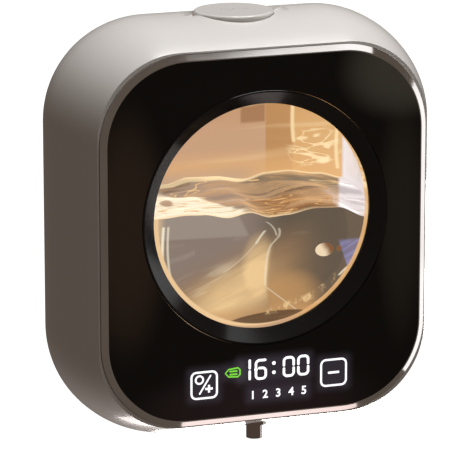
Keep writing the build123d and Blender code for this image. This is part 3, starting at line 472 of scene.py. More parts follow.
def boardFinish():
    # solder mask over tracks
    look = boardLook
    paint = Paint("boardMask")
    sockets = {"Vector": paint.place(), **look["tracks"]}
    tracks = paint.node("ShaderNodeTexBrick", {"offset": 0.5}, sockets, "Color")
    speck = paint.noise(900, 2)
    rough = look["rough"] + speck * look["roughSwing"]
    normal = paint.bump(speck, look["bump"], grainDepth)
    return paint.finish(paint.surface(Base_Color=tracks, Roughness=rough, Normal=normal))


tankLook = {
    "shade": 0.25,                          # how much of it is paint, and not painted lamplight
    "postWidth": 0.3,
    "postSoft": 0.9,
    "tones": {
        "left": tone(199, 161, 130),        # the back wall, to the left of the edge, paler with a painted reflection
        "lamp": tone(186, 140, 92),
        "right": tone(214, 170, 114),
        "low": tone(226, 178, 122),
        "block": tone(150, 106, 70),
        "bright": tone(255, 232, 184),
        "side": tone(226, 220, 222),        # the wall at the right
        "sideShade": tone(196, 186, 190),   # its shaded parts
        "mist": tone(168, 150, 142),        # just above the soap at the left
    },
    # where the tones meet, in millimetres: from and to, runs as (height, x) points, and
    # patches as centre and radii
    "places": {
        "reflectionEdge": (15.9, 16.7),
        "rightEdge": (25.0, 26.4),
        "lowBand": (11.0, 20.0),
        "highBand": (22.0, 36.0),
        "blockLeft": (7.2, 8.2),
        "blockRight": (15.6, 16.4),
        "blockFoot": (26.4, 27.6),
        "post": ((19.0, 26.2), (25.0, 25.6), (34.0, 25.8)),
        "farPost": ((9.0, 41.6), (17.0, 40.9), (24.0, 41.4)),
        "threads": ((33.5, 17.0), (11.0, 8.0)),
        "lowGlint": ((36.5, 12.6), (3.2, 1.4)),
        "highGlint": ((29.0, 20.5), (2.6, 0.8)),
        "mistHeight": (9.0, 15.0),
        "mistReach": (4.0, 18.0),
        "sideWall": (42.6, 43.6),
        "front": (-51.0, -46.0),
    },
    "amounts": {"high": 0.45, "block": 0.7, "drift": 0.3, "post": 0.75, "farPost": 0.7,
                "threads": 0.9, "highGlint": 0.7, "mist": 0.55, "front": 0.15},
}


def tankInside():
    # the tank's walls, glowing with painted warm light: peach at the left with a painted reflection,
    # gold at the right, white at the side
    paint = Paint("tankWarm")
    look, at, amount = tankLook["tones"], tankLook["places"], tankLook["amounts"]
    spot = paint.millimetres()
    x, y, z = spot.part(0), spot.part(1), spot.part(2)
    drift = paint.noise(55, 3, 0.5, (0.25, 1, 2.5), warp=0.8)
    fine = paint.noise(110, 2, 0.5, (0.5, 1, 1.8), warp=1.2)
    colour = paint.mix(x.step(*at["reflectionEdge"]), look["left"], look["lamp"])
    colour = paint.mix(x.step(*at["rightEdge"]), colour, look["right"])
    lowBand = (1 - z.step(*at["lowBand"])) * (0.45 + drift * 0.6)
    colour = paint.mix(lowBand.atMost(1.0), colour, look["low"])
    colour = paint.mix(z.step(*at["highBand"]) * amount["high"], colour, look["lamp"])
    block = (x.step(*at["blockLeft"]) - x.step(*at["blockRight"])) * z.step(*at["blockFoot"])
    colour = paint.mix(block * amount["block"], colour, look["block"])
    colour = paint.mix(drift.step(0.5, 0.75) * amount["drift"], colour, look["bright"])
    # painted highlights along two bright runs
    for run in ("post", "farPost"):
        gleam = paint.streak(z, x, at[run], tankLook["postWidth"], tankLook["postSoft"])
        colour = paint.mix(gleam * amount[run], colour, look["bright"])
    # fine painted highlights, as bright threads where light gathers, at the right above the soap
    thread = 1 - abs(fine - 0.5).step(0.0, 0.035)
    where = paint.blob(x, z, *at["threads"], 0.2)
    colour = paint.mix(thread * where * amount["threads"], colour, look["bright"])
    # painted glints
    glint = paint.blob(x, z, *at["lowGlint"], 0.1)
    glint = glint + paint.blob(x, z, *at["highGlint"], 0.1) * amount["highGlint"]
    colour = paint.mix(glint.atMost(1.0), colour, look["bright"])
    haze = (1 - z.step(*at["mistHeight"])) * (1 - x.step(*at["mistReach"])) * amount["mist"]
    colour = paint.mix(haze, colour, look["mist"])
    cloud = paint.noise(90, 4, 0.6, (1, 0.5, 0.6))
    white = paint.mix(cloud.step(0.4, 0.7), look["side"], look["sideShade"])
    colour = paint.mix(x.step(*at["sideWall"]), colour, white)
    # the walls change to the low tone towards the front, beside and under the window
    front = 1 - y.step(*at["front"])
    colour = paint.mix(front * amount["front"], colour, look["low"])
    return paint.lit(colour, tankLook["shade"], Roughness=0.3 + drift * 0.15)


def dress(node, material):
    for slot in frame["nodes"][node].material_slots:
        slot.material = material


def dressFrame():
    made = {slot: make(slot, look) for slot, (make, look) in finishes.items()}
    made["bezel_chrome"] = bezelFinish()
    made["black_panel"] = panelFinish()
    made["black_trim"] = ringFinish()
    made["clear_lens"] = lensFinish()
    made["circuit_board"] = boardFinish()
    made["tank_white"] = tankInside()
    cap = capFinish()
    for entry in frame["record"]["subparts"]:
        if entry["material_slot"] in made:
            dress(entry["node"], made[entry["material_slot"]])
    dress("filler_cap", cap)
    print("finishes on:", len(made), "slots and the cap")


dressFrame()


# mesh helpers
def addMesh(name, vertices, faces, smooth=True):
    mesh = bpy.data.meshes.new(name)
    mesh.from_pydata([tuple(point) for point in vertices], [], faces)
    builder = bmesh.new()
    builder.from_mesh(mesh)
    bmesh.ops.recalc_face_normals(builder, faces=builder.faces)
    builder.to_mesh(mesh)
    builder.free()
    mesh.polygons.foreach_set("use_smooth", [smooth] * len(mesh.polygons))
    piece = bpy.data.objects.new(name, mesh)
    bpy.context.scene.collection.objects.link(piece)
    return piece


def settle(piece, body, material):
    piece.data.materials.append(material)
    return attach(piece, body)


# the soap in the tank
soapLook = {
    "columns": 180,
    "rows": 72,
    "cornerRadius": 24.7 * mm,
    "inset": 0.02 * mm,
    "ripple": 0.55 * mm,
    # the ripple's waves: turns across and back, in radians per metre, start and share
    "waves": ((260, 410, 0.0, 0.5), (170, -520, 1.1, 0.5), (70, 190, 0.6, 0.8)),
    # the surface's height along the window and along the back wall, in millimetres
    "frontLine": ((-44, 6.2), (-31, 6.5), (-24, 6.9), (-18, 6.6), (-9.3, 5.0), (-2.6, 6.1),
                  (4.5, 4.1), (10, 4.4), (19.7, 5.8), (27.2, 5.5), (37.5, 1.6), (44, 0.8)),
    "backLine": ((-44, 7.4), (-18, 8.8), (-11, 10.5), (-2, 10.2), (9, 8.6), (16, 10.2),
                 (23, 10.4), (34, 8.8), (44, 6.4)),
    "shade": 0.12,                          # how much of it is paint, and not painted lamplight
    "rough": 0.08,
    "ior": 1.38,
    "below": {
        "tones": {
            "smoke": tone(142, 126, 116),       # seen through the soap, to the left
            "olive": tone(96, 87, 76),          # and to the right
            "pale": tone(170, 157, 148),
            "peach": tone(244, 208, 154),
            "brown": tone(158, 122, 88),
            "amber": tone(205, 158, 104),
            "white": tone(255, 247, 222),
            "blue": tone(150, 150, 204),
            "dark": tone(84, 60, 42),
            "cream": tone(242, 206, 158),
        },
        # the streaks run along this slope
        "flow": {"slope": 0.42, "along": 0.00035, "across": 0.0026},
        # where the tones meet, in millimetres: from and to, runs and patches
        "places": {
            "olive": (-6.0, 11.0),
            "hollow": ((-30, -7.6), (-24.5, -6.4), (-20.5, -5.0)),
            "fanEdge": ((-40, 12.0), (-18.3, 2.8), (-10, 3.2), (-5.4, 4.4), (0, 7.4)),
            "heart": ((0.5, -11.0), (6.5, 12.0)),
            "amber": ((9.0, -21.5), (15.0, 10.0)),
            "leftEdge": (-33.5, -30.0),
            "sliver": ((3.5, -29.3), (15.5, 2.7)),
            "floor": ((2.0, -26.0), (12.0, -24.8), (20.0, -21.6), (27.0, -16.4)),
            "rimCentre": (1.8, 4.6),
            "rim": (34.5, 35.0),
        },
        "amounts": {"patch": 0.6, "hollow": 0.3, "left": 0.6, "gleam": 0.35, "floor": 0.8},
        # painted highlights as bright curved threads: a run of (height, x) points, then width and
        # strength
        "threads": (
            ([(-27.1, 13.7), (-22.8, 8.4), (-18.3, 2.8)], 0.1, 0.4),
            ([(-18.3, 2.8), (-10.0, 3.2), (-5.4, 4.4), (-3.4, 6.2), (-1.2, 7.6), (0.6, 7.2)],
             0.25, 0.4),
            ([(-4.4, -0.6), (-2.0, 1.0), (0.2, 2.9)], 0.4, 0.6),
            ([(-13.0, -12.0), (-8.0, -4.6), (-4.0, -0.4)], 0.1, 0.25),
            ([(-2.2, 6.6), (1.0, 5.2), (3.0, 2.6)], 0.1, 0.4),
            ([(-24.0, -29.6), (-10.0, -31.6), (4.0, -31.2)], 0.4, 0.85),
            ([(-14.0, -28.6), (-6.0, -29.8), (4.0, -29.6)], 0.2, 0.6),
            ([(-17.0, 27.6), (-14.4, 30.4), (-12.6, 33.2)], 0.4, 0.7),
        ),
    },
    "above": {
        "tones": {
            "left": tone(160, 138, 122),
            "right": tone(110, 99, 85),
            "tan": tone(150, 102, 62),
            "crest": tone(196, 158, 120),
            "shadedTrough": tone(88, 74, 62),
            "gold": tone(222, 168, 96),
            "thread": tone(246, 206, 148),
            "spark": tone(224, 172, 108),
            "spot": tone(158, 118, 98),
            "back": tone(250, 226, 178),
            "lip": tone(252, 226, 180),
            "side": tone(228, 221, 222),
        },
        # across in x, inward from the panel's face, and runs as (x, depth) points
        "places": {
            "right": (-4.0, 10.0),
            "tanDepth": (20.0, 30.0),
            "tanReach": (-4.0, 8.0),
            "bandEdge": ((-44, 34), (-25, 32), (-14, 27), (-8, 18), (-2, 10), (6, 6)),
            "spot": ((-25.5, 22.0), (2.6, 3.4)),
            "backLeft": (4.0, 12.0),
            "back": (41.4, 43.2),
            "lipDepth": (8.2, 10.4),
            "lipReach": (8.0, 24.0),
            "sideEdge": (24.3, 0.403),      # where it starts, and its slope outwards with depth
        },
    },
}


def lineHeight(line, x):
    # the height in millimetres of a smooth line through (x, height) points
    for (xLeft, left), (xRight, right) in zip(line, line[1:]):
        if x <= xRight:
            share = (x - xLeft) / (xRight - xLeft)
            return left + (right - left) * (3 - 2 * share) * share**2
    return line[-1][1]


def soapHeight(x, depth):
    # the rocking surface, from the line on the window to the line on the back wall
    look = soapLook
    share = depth / (soapHigh.y - soapLow.y)
    front = lineHeight(look["frontLine"], x / mm)
    back = lineHeight(look["backLine"], x / mm)
    waves = sum(
        math.sin(x * across + depth * inward + start) * part
        for across, inward, start, part in look["waves"]
    )
    calm = math.sin(math.pi * share)                # no ripple at the window or the back wall
    height = (front + (back - front) * share) * mm + look["ripple"] * waves * calm
    return height - soapHigh.z


def soapFloor(x):
    # the height of the tank's rounded floor at x
    radius = soapLook["cornerRadius"]
    over = max(0.0, abs(x) - (soapHigh.x - radius))
    return soapLow.z + radius - math.sqrt(max(0.0, radius**2 - over**2))


def makeSoap():
    look = soapLook
    columns, rows, inset = look["columns"], look["rows"], look["inset"]
    vertices, faces = [], []
    for row in range(rows + 1):
        depth = (soapHigh.y - soapLow.y) * row / rows
        for column in range(columns + 1):
            x = (soapHigh.x - inset) * (2 * column / columns - 1)
            vertices.append((x, soapLow.y + depth, soapHigh.z + soapHeight(x, depth)))
    top = len(vertices)
    for row in (0, rows):
        for column in range(columns + 1):
            x = (soapHigh.x - inset) * (2 * column / columns - 1)
            y = soapLow.y + (soapHigh.y - soapLow.y) * row / rows
            vertices.append((x, y, soapFloor(x)))
    wide = columns + 1
    for row in range(rows):
        for column in range(columns):
            a = row * wide + column
            faces.append((a, a + 1, a + 1 + wide, a + wide))
    for column in range(columns):
        front, back = top + column, top + wide + column
        last = rows * wide + column
        faces.append((column, front, front + 1, column + 1))
        faces.append((last, last + 1, back + 1, back))
        faces.append((front, back, back + 1, front + 1))
    for column, edge in ((0, 0), (columns, columns)):
        side = [row * wide + edge for row in range(rows + 1)]
        faces.append((*side, top + wide + column, top + column))
    return addMesh("soapLiquid", vertices, faces)


def soapBelow(paint, x, z):
    # what shows through the window under the surface, painted in as glowing colour with painted
    # highlights
    below = soapLook["below"]
    look, at, amount, flow = below["tones"], below["places"], below["amounts"], below["flow"]
    slope = flow["slope"]
    slant = {"X": x * flow["along"], "Y": 0.0, "Z": (z - x * slope) * flow["across"]}
    sockets = {"Vector": paint.node("ShaderNodeCombineXYZ", {}, slant), "Scale": 60.0, "Detail": 4.0}
    sockets.update({"Roughness": 0.55, "Distortion": 0.7})
    streaky = paint.node("ShaderNodeTexNoise", {}, sockets, "Fac")
    soft = paint.noise(24, 3, 0.5, (0.8, 1, 1.2), warp=0.8)
    colour = paint.mix(x.step(*at["olive"]), look["smoke"], look["olive"])
    patch = (1 - (x + z * 0.5).step(-4.2, -2.6)) * (z + (x + 16) * 0.03).step(-1.3, -0.5)
    colour = paint.mix(patch * amount["patch"], colour, look["pale"])
    hollow = paint.streak(x, z, at["hollow"], 0.8, 0.8)
    colour = paint.mix(hollow * amount["hollow"], colour, look["pale"])
    # painted lamplight gathers low in the middle, and stops at the fan's edge
    fan = (x - paint.follow(z, at["fanEdge"])).step(-0.4, 1.6)
    rise = z - (x + 10.0) * slope
    under = (1 - rise.step(-19.0, -2.0)) * (1 - x.step(2.0, 26.0) * 0.9) * (0.5 + streaky * 0.8)
    colour = paint.mix(under.atMost(1.0), colour, look["brown"])
    heart = 1 - abs(rise + 21.0).step(0.0, 13.5)
    heart = heart * (1 - abs(x + 6.0).step(4.0, 27.0))
    heart = heart + paint.blob(x, z, *at["heart"], 0.0) * 0.5
    warm = heart * (1 - fan * 0.8) * (0.35 + streaky * 1.3)
    colour = paint.mix(warm.atMost(1.0), colour, look["peach"])
    amber = paint.blob(x, z, *at["amber"], 0.0) * fan * (0.3 + soft * 0.9)
    colour = paint.mix(amber.atMost(1.0), colour, look["amber"])
    base = (1 - z.step(-27.0, -23.0)) * (0.3 + streaky.step(0.3, 0.7) * 0.5)
    colour = paint.mix(base, colour, look["amber"])
    left = (1 - x.step(*at["leftEdge"])) * amount["left"]
    colour = paint.mix(left, colour, look["cream"])
    # painted highlight streaks
    gleam = streaky.step(0.56, 0.72) * (1 - x.step(0.0, 14.0)) * (1 - z.step(-14.0, -6.0))
    colour = paint.mix(gleam * amount["gleam"], colour, look["white"])
    shard = (z * 0.35 + x).step(25.4, 26.2) * (1 - z.step(-6.0, -4.6)) * z.step(-19.0, -14.0)
    blue = shard * (0.55 + soft * 0.5) * (1 - abs(streaky - 0.5).step(0.0, 0.05) * 0.45)
    colour = paint.mix(blue.atMost(1.0), colour, look["blue"])
    for line, width, strength in below["threads"]:
        colour = paint.mix(paint.streak(z, x, line, width, 0.5) * strength, colour, look["white"])
    # a dark sliver along the tank's floor, and the pale rim round it
    sliver = paint.blob(x, z - x * 0.06, *at["sliver"], 0.72)
    colour = paint.mix(sliver * (0.7 + soft * 0.4), colour, look["dark"])
    crumbs = paint.noise(240, 3, 0.7).step(0.5, 0.62)
    floor = paint.streak(x, z, at["floor"], 0.8, 1.6)
    colour = paint.mix(floor * crumbs * amount["floor"], colour, look["peach"])
    across, up = x - at["rimCentre"][0], z - at["rimCentre"][1]
    ring = (across * across + up * up) ** 0.5
    rim = ring.step(*at["rim"]) * (1 - (across + up * 0.9).step(-6.0, 12.0))
    return paint.mix(rim, colour, look["cream"])


def soapAbove(paint, x, depth):
    # the surface seen from above, in painted light: a painted highlight band at the left, brown
    # lamplight at the right
    look, at = soapLook["above"]["tones"], soapLook["above"]["places"]
    wavy = paint.noise(48, 3, 0.5, (0.32, 1.9, 1), warp=0.9)
    fine = paint.noise(95, 2, 0.5, (0.42, 2.2, 1), (0.3, 0.1, 0), warp=1.2)
    colour = paint.mix(x.step(*at["right"]), look["left"], look["right"])
    tan = (1 - depth.step(*at["tanDepth"])) * x.step(*at["tanReach"])
    colour = paint.mix(tan * 0.9, colour, look["tan"])
    # painted light on the ripples' crests and painted shade in their troughs
    colour = paint.mix(wavy.step(0.5, 0.6) * 0.7, colour, look["crest"])
    colour = paint.mix((1 - wavy.step(0.36, 0.46)) * 0.7, colour, look["shadedTrough"])
    # the bright band at the left is a painted highlight
    edge = paint.follow(x, at["bandEdge"])
    bright = 1 - (depth - edge + (wavy - 0.5) * 24.0).step(-2.5, 1.5)
    dazzle = bright * (0.6 + wavy.step(0.36, 0.48) * 0.4)
    colour = paint.mix(dazzle, colour, soapLook["below"]["tones"]["white"])
    # painted glints, threads and sparks
    gold = bright * (1 - abs(fine - 0.5).step(0.0, 0.035)) * 0.75
    colour = paint.mix(gold, colour, look["gold"])
    thread = (1 - abs(wavy - 0.48).step(0.0, 0.012)) * (1 - bright)
    colour = paint.mix(thread * 0.8, colour, look["thread"])
    spark = (1 - abs(fine - 0.52).step(0.0, 0.02)) * (0.3 + tan * 0.5) * (1 - bright)
    colour = paint.mix(spark, colour, look["spark"])
    spot = paint.blob(x, depth, *at["spot"], 0.2)
    colour = paint.mix(spot * 0.8, colour, look["spot"])
    # a painted highlight along the back wall
    left = 1 - x.step(*at["backLeft"])
    back = (depth + left * 2.4).step(*at["back"]) * (0.35 + left * 0.25 + wavy.step(0.4, 0.55) * 0.4)
    colour = paint.mix(back, colour, look["back"])
    lip = (1 - depth.step(*at["lipDepth"])) * (1 - x.step(*at["lipReach"]) * 0.7)
    colour = paint.mix(lip * 0.75, colour, look["lip"])
    white = paint.mix(fine.step(0.4, 0.6), look["side"], tankLook["tones"]["sideShade"])
    start, spreading = at["sideEdge"]
    return paint.mix((x - (start + depth * spreading)).step(-0.8, 0.8), colour, white)


def soapFinish():
    # amber soap, glowing with painted lamplight; depth is from the panel's face
    paint = Paint("soapAmber")
    spot = paint.millimetres((0, -faceY / mm, 0))
    x, depth, z = spot.part(0), spot.part(1), spot.part(2)
    facing = paint.node("ShaderNodeNewGeometry", {}, {}, "True Normal").part(2).step(0.3, 0.6)
    colour = paint.mix(facing, soapBelow(paint, x, z), soapAbove(paint, x, depth))
    return paint.lit(colour, soapLook["shade"], Roughness=soapLook["rough"], IOR=soapLook["ior"])


# air caught against the window
bubbleLook = {
    # names, and centres, widths and heights in millimetres
    "bubbles": (("airBubble", (22.8, -7.9), (6.2, 4.4)),
                ("airBubbleSmall", (27.7, -7.9), (1.7, 1.9))),
    # painted light on the near side and painted shade at the far side
    "lit": tone(250, 226, 192),
    "far": tone(136, 92, 60),
    "rings": 10,
    "sides": 32,
    "bulge": 0.7 * mm,
}


def bubbleFinish():
    # painted light: bright where lamplight would come through, with painted shade in brown at its far
    # side, and a glossier rim
    paint = Paint("bubbleAir")
    spot = paint.millimetres()
    x, z = spot.part(0), spot.part(2)
    ripple = paint.noise(300, 2)
    across = (x + z * 0.5 - 19.0 + ripple * 1.2).step(-0.6, 2.4)
    colour = paint.mix(across, bubbleLook["lit"], bubbleLook["far"])
    edge = paint.node("ShaderNodeLayerWeight", {}, {"Blend": 0.25}, "Facing").step(0.55, 0.9)
    rough = 0.06 + ripple * 0.05
    return paint.lit(colour, soapLook["shade"], Roughness=rough, Coat_Weight=edge * 0.3)


def makeBubbles(material):
    rings, sides, bulge = bubbleLook["rings"], bubbleLook["sides"], bubbleLook["bulge"]
    for name, (x, z), (wide, tall) in bubbleLook["bubbles"]:
        vertices = [(x * mm, soapLow.y - bulge, z * mm)]
        for ring in range(1, rings + 1):
            angle = math.pi / 2 * ring / rings
            out, lift = math.sin(angle) / 2, math.cos(angle) * bulge
            for side in range(sides):
                turn = 2 * math.pi * side / sides
                vertices.append((
                    (x + wide * out * math.cos(turn)) * mm,
                    soapLow.y - lift,
                    (z + tall * out * math.sin(turn)) * mm,
                ))
        faces = [(0, 1 + side, 1 + (side + 1) % sides) for side in range(sides)]
        for ring in range(rings - 1):
            first = 1 + ring * sides
            for side in range(sides):
                after = (side + 1) % sides
                faces.append((first + side, first + sides + side, first + sides + after, first + after))
        faces.append(tuple(range(1 + (rings - 1) * sides, 1 + rings * sides)))
        settle(addMesh(name, vertices, faces), "dispenser", material)


soap = makeSoap()
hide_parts("liquid_soap")
settle(soap, "dispenser", soapFinish())
makeBubbles(bubbleFinish())
print("soap filled:", len(soap.data.vertices), "vertices")


# the lit display
displayLook = {
    "thickness": 0.03 * mm,
    "proud": 0.02 * mm,
    "white": (0.95, 0.97, 1.0),
    "green": tone(120, 214, 62),
    "glow": 1.15,
    "greenGlow": 1.0,
}


def panelPoint(x, z):
    # a point on the panel's face: x from its middle, z up from its lower edge, in millimetres
    return Vector((x * mm, faceY, baseZ + z * mm))


def arcPoints(centre, radius, start, end, steps=8):
    found = []
    for step in range(steps + 1):
        angle = math.radians(start + (end - start) * step / steps)
        found.append((centre[0] + radius * math.cos(angle), centre[1] + radius * math.sin(angle)))
    return found


def plate(name, outlines):
    # thin flat plates on the panel's face, one from each closed outline in millimetres
    look = displayLook
    vertices, faces = [], []
    for outline in outlines:
        base = len(vertices)
        count = len(outline)
        for lift in (-look["proud"], look["thickness"] - look["proud"]):
            for x, z in outline:
                point = panelPoint(x, z)
                point.y += lift
                vertices.append(point)
        faces.append(tuple(base + i for i in range(count)))
        faces.append(tuple(base + count + i for i in range(count)))
        for i in range(count):
            after = (i + 1) % count
            faces.append((base + i, base + after, base + count + after, base + count + i))
    return addMesh(name, vertices, faces, smooth=False)


def strokeOutline(points, width):
    # the outline of a round-ended stroke along an open run of points
    half = width / 2
    left, right, turns = [], [], []
    for i, (x, z) in enumerate(points):
        before, after = points[max(i - 1, 0)], points[min(i + 1, len(points) - 1)]
        along = Vector((after[0] - before[0], after[1] - before[1])).normalized()
        left.append((x - along.y * half, z + along.x * half))
        right.append((x + along.y * half, z - along.x * half))
        turns.append(math.degrees(math.atan2(along.x, -along.y)))
    startCap = arcPoints(points[0], half, turns[0] + 180, turns[0])
    endCap = arcPoints(points[-1], half, turns[-1], turns[-1] - 180)
    return startCap + left[1:-1] + endCap + right[-2:0:-1]


def strokeRing(points, width):
    # two outlines, inner and outer, of a stroke round a closed run of points
    half = width / 2
    inner, outer = [], []
    count = len(points)
    for i, (x, z) in enumerate(points):
        before, after = points[i - 1], points[(i + 1) % count]
        along = Vector((after[0] - before[0], after[1] - before[1])).normalized()
        outer.append((x + along.y * half, z - along.x * half))
        inner.append((x - along.y * half, z + along.x * half))
    return inner, outer


def ringPlate(name, rings):
    # thin flat bands on the panel's face, one from each (inner, outer) pair of outlines
    look = displayLook
    vertices, faces = [], []
    for inner, outer in rings:
        base, count = len(vertices), len(inner)
        for lift in (-look["proud"], look["thickness"] - look["proud"]):
            for outline in (inner, outer):
                for x, z in outline:
                    point = panelPoint(x, z)
                    point.y += lift
                    vertices.append(point)
        for i in range(count):
            after = (i + 1) % count
            corners = [base + row * count for row in range(4)]
            for a, b in ((0, 1), (2, 3), (0, 2), (1, 3)):
                faces.append(
                    (corners[a] + i, corners[a] + after, corners[b] + after, corners[b] + i)
                )
    return addMesh(name, vertices, faces, smooth=False)


def roundedBox(centre, size, radius):
    x, z = centre
    halfX, halfZ = size[0] / 2 - radius, size[1] / 2 - radius
    found = []
    for sx, sz, start in ((1, 1, 0), (-1, 1, 90), (-1, -1, 180), (1, -1, 270)):
        found += arcPoints((x + sx * halfX, z + sz * halfZ), radius, start, start + 90, 6)
    return found


def glowFinish(name, colour, strength):
    # a lit segment behind a diffuser, a little dimmer where its grain is dense
    paint = Paint(name)
    grain = paint.noise(1500, 2)
    level = paint.mix(grain.step(0.2, 0.9) * 0.25, colour, tuple(part * 0.7 for part in colour))
    return paint.finish(
        paint.surface(
            Base_Color=level, Roughness=0.5, Emission_Color=level, Emission_Strength=strength
        )
    )


# the clock's digits and colon, in millimetres, placed as panelPoint takes them
clockLook = {
    "digits": (("1", -8.75, 11.55), ("6", -3.35, 11.35), ("0", 6.1, 11.37), ("0", 11.0, 11.38)),
    "size": (3.3, 6.0),
    "stroke": 0.84,
    "corner": 1.15,
    "gap": 0.55,                            # half the gap between upper and lower strokes
    "colon": (2.7, 12.97, 16.0),            # x, and the height of each dot
    "colonRadius": 0.62,
}


def digitStrokes(digit, x, z):
    # the strokes of one clock digit, with its lower left corner at x, z, in millimetres
    wide, tall = clockLook["size"]
    radius, gap = clockLook["corner"], clockLook["gap"]
    middle = z + tall / 2
    right, top = x + wide, z + tall
    upper = [(x, middle + gap)]
    upper += arcPoints((x + radius, top - radius), radius, 180, 90)
    upper += arcPoints((right - radius, top - radius), radius, 90, 0)
    upper += [(right, middle + gap)]
    lower = [(x, middle - gap)]
    lower += arcPoints((x + radius, z + radius), radius, 180, 270)
    lower += arcPoints((right - radius, z + radius), radius, 270, 360)
    lower += [(right, middle - gap)]
    if digit == "0":
        return [upper, lower]
    if digit == "1":
        return [[(right, z), (right, middle - gap)], [(right, middle + gap), (right, top)]]
    bowl = [(x, middle + gap * 0.2)]
    bowl += arcPoints((x + radius, z + radius), radius, 180, 270)
    bowl += arcPoints((right - radius, z + radius), radius, 270, 360)
    bowl += arcPoints((right - radius, middle - radius * 0.6), radius, 0, 90)
    bowl += [(x + radius, middle + radius * 0.4)]
    hook = [(x, middle + gap * 0.2)]
    hook += arcPoints((x + radius, top - radius), radius, 180, 90)
    hook += [(right - 0.2, top)]
    return [bowl, hook]


def makeClock(material):
    look = clockLook
    outlines = []
    for digit, x, z in look["digits"]:
        outlines += [strokeOutline(run, look["stroke"]) for run in digitStrokes(digit, x, z)]
    for z in look["colon"][1:]:
        outlines.append(arcPoints((look["colon"][0], z), look["colonRadius"], 0, 342, 19))
    settle(plate("clockDigits", outlines), "dispenser", material)


# the two touch squares and their marks
touchLook = {
    "squares": ((-20.7, 11.02), (23.0, 10.99)),
    "size": (8.5, 8.5),
    "squareStroke": 0.66,
    "corner": 1.6,
    "ring": (-22.3, 12.84),
    "ringRadius": 1.25,
    "ringStroke": 0.6,
    "minus": ((21.4, 10.99), (24.6, 10.99)),
    "minusStroke": 0.75,
    "slash": ((-22.2, 8.3), (-18.6, 13.95)),
    "slashStroke": 0.55,
    "plus": (-19.1, 9.72),
    "plusArm": (1.25, 0.36),            # half its length and half its thickness
}


def makeTouchSquares(material):
    at = touchLook
    boxes = [
        strokeRing(roundedBox(centre, at["size"], at["corner"]), at["squareStroke"])
        for centre in at["squares"]
    ]
    circle = arcPoints(at["ring"], at["ringRadius"], 0, 345, 23)
    boxes.append(strokeRing(circle, at["ringStroke"]))
    settle(ringPlate("touchSquares", boxes), "dispenser", material)
    marks = [strokeOutline(at[name], at[f"{name}Stroke"]) for name in ("minus", "slash")]
    arm, thick = at["plusArm"]
    x, z = at["plus"]
    plus = []
    for sx, sz in ((1, 1), (-1, 1), (-1, -1), (1, -1)):
        corner = [(x + sx * arm, z + sz * thick), (x + sx * thick, z + sz * thick),
                  (x + sx * thick, z + sz * arm)]
        plus += corner if sx * sz > 0 else corner[::-1]
    marks.append(plus)
    settle(plate("touchMarks", marks), "dispenser", material)


# the battery sign
batteryLook = {
    "outline": ((-13.6, 14.1), (-12.5, 15.3), (-9.4, 15.6), (-8.7, 14.9), (-8.7, 13.4),
                (-9.4, 12.7), (-12.5, 12.9)),
    "outlineStroke": 0.5,
    "barEnds": (-12.0, -9.8),
    "barHeights": (13.6, 14.6),
    "barStroke": 0.55,
}


def makeBatterySign(material):
    at = batteryLook
    outline = strokeRing(at["outline"][::-1], at["outlineStroke"])
    settle(ringPlate("batteryOutline", [outline]), "dispenser", material)
    start, end = at["barEnds"]
    bars = [strokeOutline([(start, z), (end, z)], at["barStroke"]) for z in at["barHeights"]]
    settle(plate("batteryBars", bars), "dispenser", material)


# the level numbers
levelLook = {
    "names": "12345",
    "places": (-4.4, -0.2, 4.2, 8.6, 12.9),
    "height": 4.92,
    "size": 3.7 * mm,
    "weight": 0.09 * mm,
}


def makeLevels(material):
    look = levelLook
    for name, x in zip(look["names"], look["places"]):
        letter = bpy.data.curves.new(f"level{name}", "FONT")
        letter.body = name
        letter.size = look["size"]
        letter.align_x = "CENTER"
        letter.offset = look["weight"]
        letter.extrude = displayLook["thickness"] / 2
        letter.resolution_u = 4
        piece = bpy.data.objects.new(f"level{name}", letter)
        bpy.context.scene.collection.objects.link(piece)
        piece.location = panelPoint(x, look["height"])
        piece.rotation_euler = (math.radians(90), 0, 0)
        settle(piece, "dispenser", material)


whiteLit = glowFinish("litWhite", displayLook["white"], displayLook["glow"])
greenLit = glowFinish("litGreen", displayLook["green"], displayLook["greenGlow"])
makeClock(whiteLit)
makeTouchSquares(whiteLit)
makeBatterySign(greenLit)
makeLevels(whiteLit)
print("display lit")


# studio
studioLook = {
    "air": (1.0, 0.81, 0.66, 1),
    "airStrength": 0.10,
    "floorReach": 30,
    "floorHeight": -1.6,
    "floorGlow": 1.1,
    "aim": (0, -0.03, 0),               # what the lights point at
    # each light's name, direction, distance, size, power and tint
    "lights": (
        ("topSoftbox", (0.22, 0.0, 1.0), 0.9, (0.6, 0.5), 7.4, (1.0, 0.985, 0.97)),
        ("topStrip", (0.27, -0.665, 0.68), 1.0, (0.95, 0.18), 0.55, (1, 1, 1)),
        ("rightStrip", (0.964, -0.10, -0.15), 1.0, (0.28, 1.1), 1.0, (1, 1, 1)),
        ("lowStrip", (0.33, -0.21, -0.92), 1.0, (0.7, 0.2), 0.45, (1.0, 0.84, 0.82)),
        ("lowSoftbox", (0.15, 0.4, -1.0), 0.9, (0.6, 0.5), 4.2, (1.0, 0.93, 0.90)),
        ("backSoftbox", (0.5, 0.75, -0.45), 1.2, (0.6, 0.6), 8.0, (1.0, 0.98, 0.96)),
    ),
}


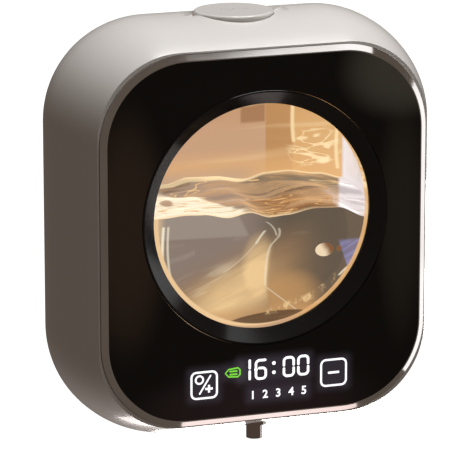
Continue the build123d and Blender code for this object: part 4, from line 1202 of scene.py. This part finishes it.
def makeStage():
    reach, height = studioLook["floorReach"], studioLook["floorHeight"]
    corners = [(x * reach, y * reach, height) for x, y in ((-1, -1), (1, -1), (1, 1), (-1, 1))]
    floor = addMesh("studioFloor", corners, [(0, 1, 2, 3)], smooth=False)
    paint = Paint("floorPale")
    cloud = paint.noise(0.4, 1)
    colour = paint.mix(cloud, (0.97, 0.97, 0.97), (0.99, 0.99, 0.99))
    shader = paint.surface(
        Base_Color=colour,
        Roughness=0.9,
        Emission_Color=colour,
        Emission_Strength=studioLook["floorGlow"],
    )
    floor.data.materials.append(paint.finish(shader))
    # only the camera sees it
    for kind in ("diffuse", "glossy", "transmission", "shadow", "volume_scatter"):
        setattr(floor, f"visible_{kind}", False)
    world = bpy.data.worlds.new("studioAir")
    world.use_nodes = True
    air = world.node_tree.nodes["Background"]
    air.inputs["Color"].default_value = studioLook["air"]
    air.inputs["Strength"].default_value = studioLook["airStrength"]
    bpy.context.scene.world = world
    bpy.context.scene.view_settings.view_transform = "Standard"


def addSoftbox(name, place, target, size, power, tint):
    light = bpy.data.lights.new(name, "AREA")
    light.shape = "RECTANGLE"
    light.size, light.size_y = size
    light.energy = power
    light.color = tint
    lamp = bpy.data.objects.new(name, light)
    lamp.location = place
    lamp.rotation_euler = (Vector(target) - Vector(place)).to_track_quat("-Z", "Y").to_euler()
    bpy.context.scene.collection.objects.link(lamp)


cameraLook = {
    "place": (-0.40933, -1.14371, 0.28351),
    "target": (-0.010394, -0.058, 0.001439),
    "lens": 292.1,
    "sensor": 36.0,
}


def makeCamera():
    data = bpy.data.cameras.new("viewCamera")
    data.lens = cameraLook["lens"]
    data.sensor_width = cameraLook["sensor"]
    camera = bpy.data.objects.new("viewCamera", data)
    camera.location = cameraLook["place"]
    aim = Vector(cameraLook["target"]) - camera.location
    camera.rotation_euler = aim.to_track_quat("-Z", "Y").to_euler()
    bpy.context.scene.collection.objects.link(camera)
    bpy.context.scene.camera = camera


makeStage()
for name, way, reach, size, power, tint in studioLook["lights"]:
    place = Vector(way).normalized() * reach
    addSoftbox(name, place, studioLook["aim"], size, power, tint)
makeCamera()
print("studio set")
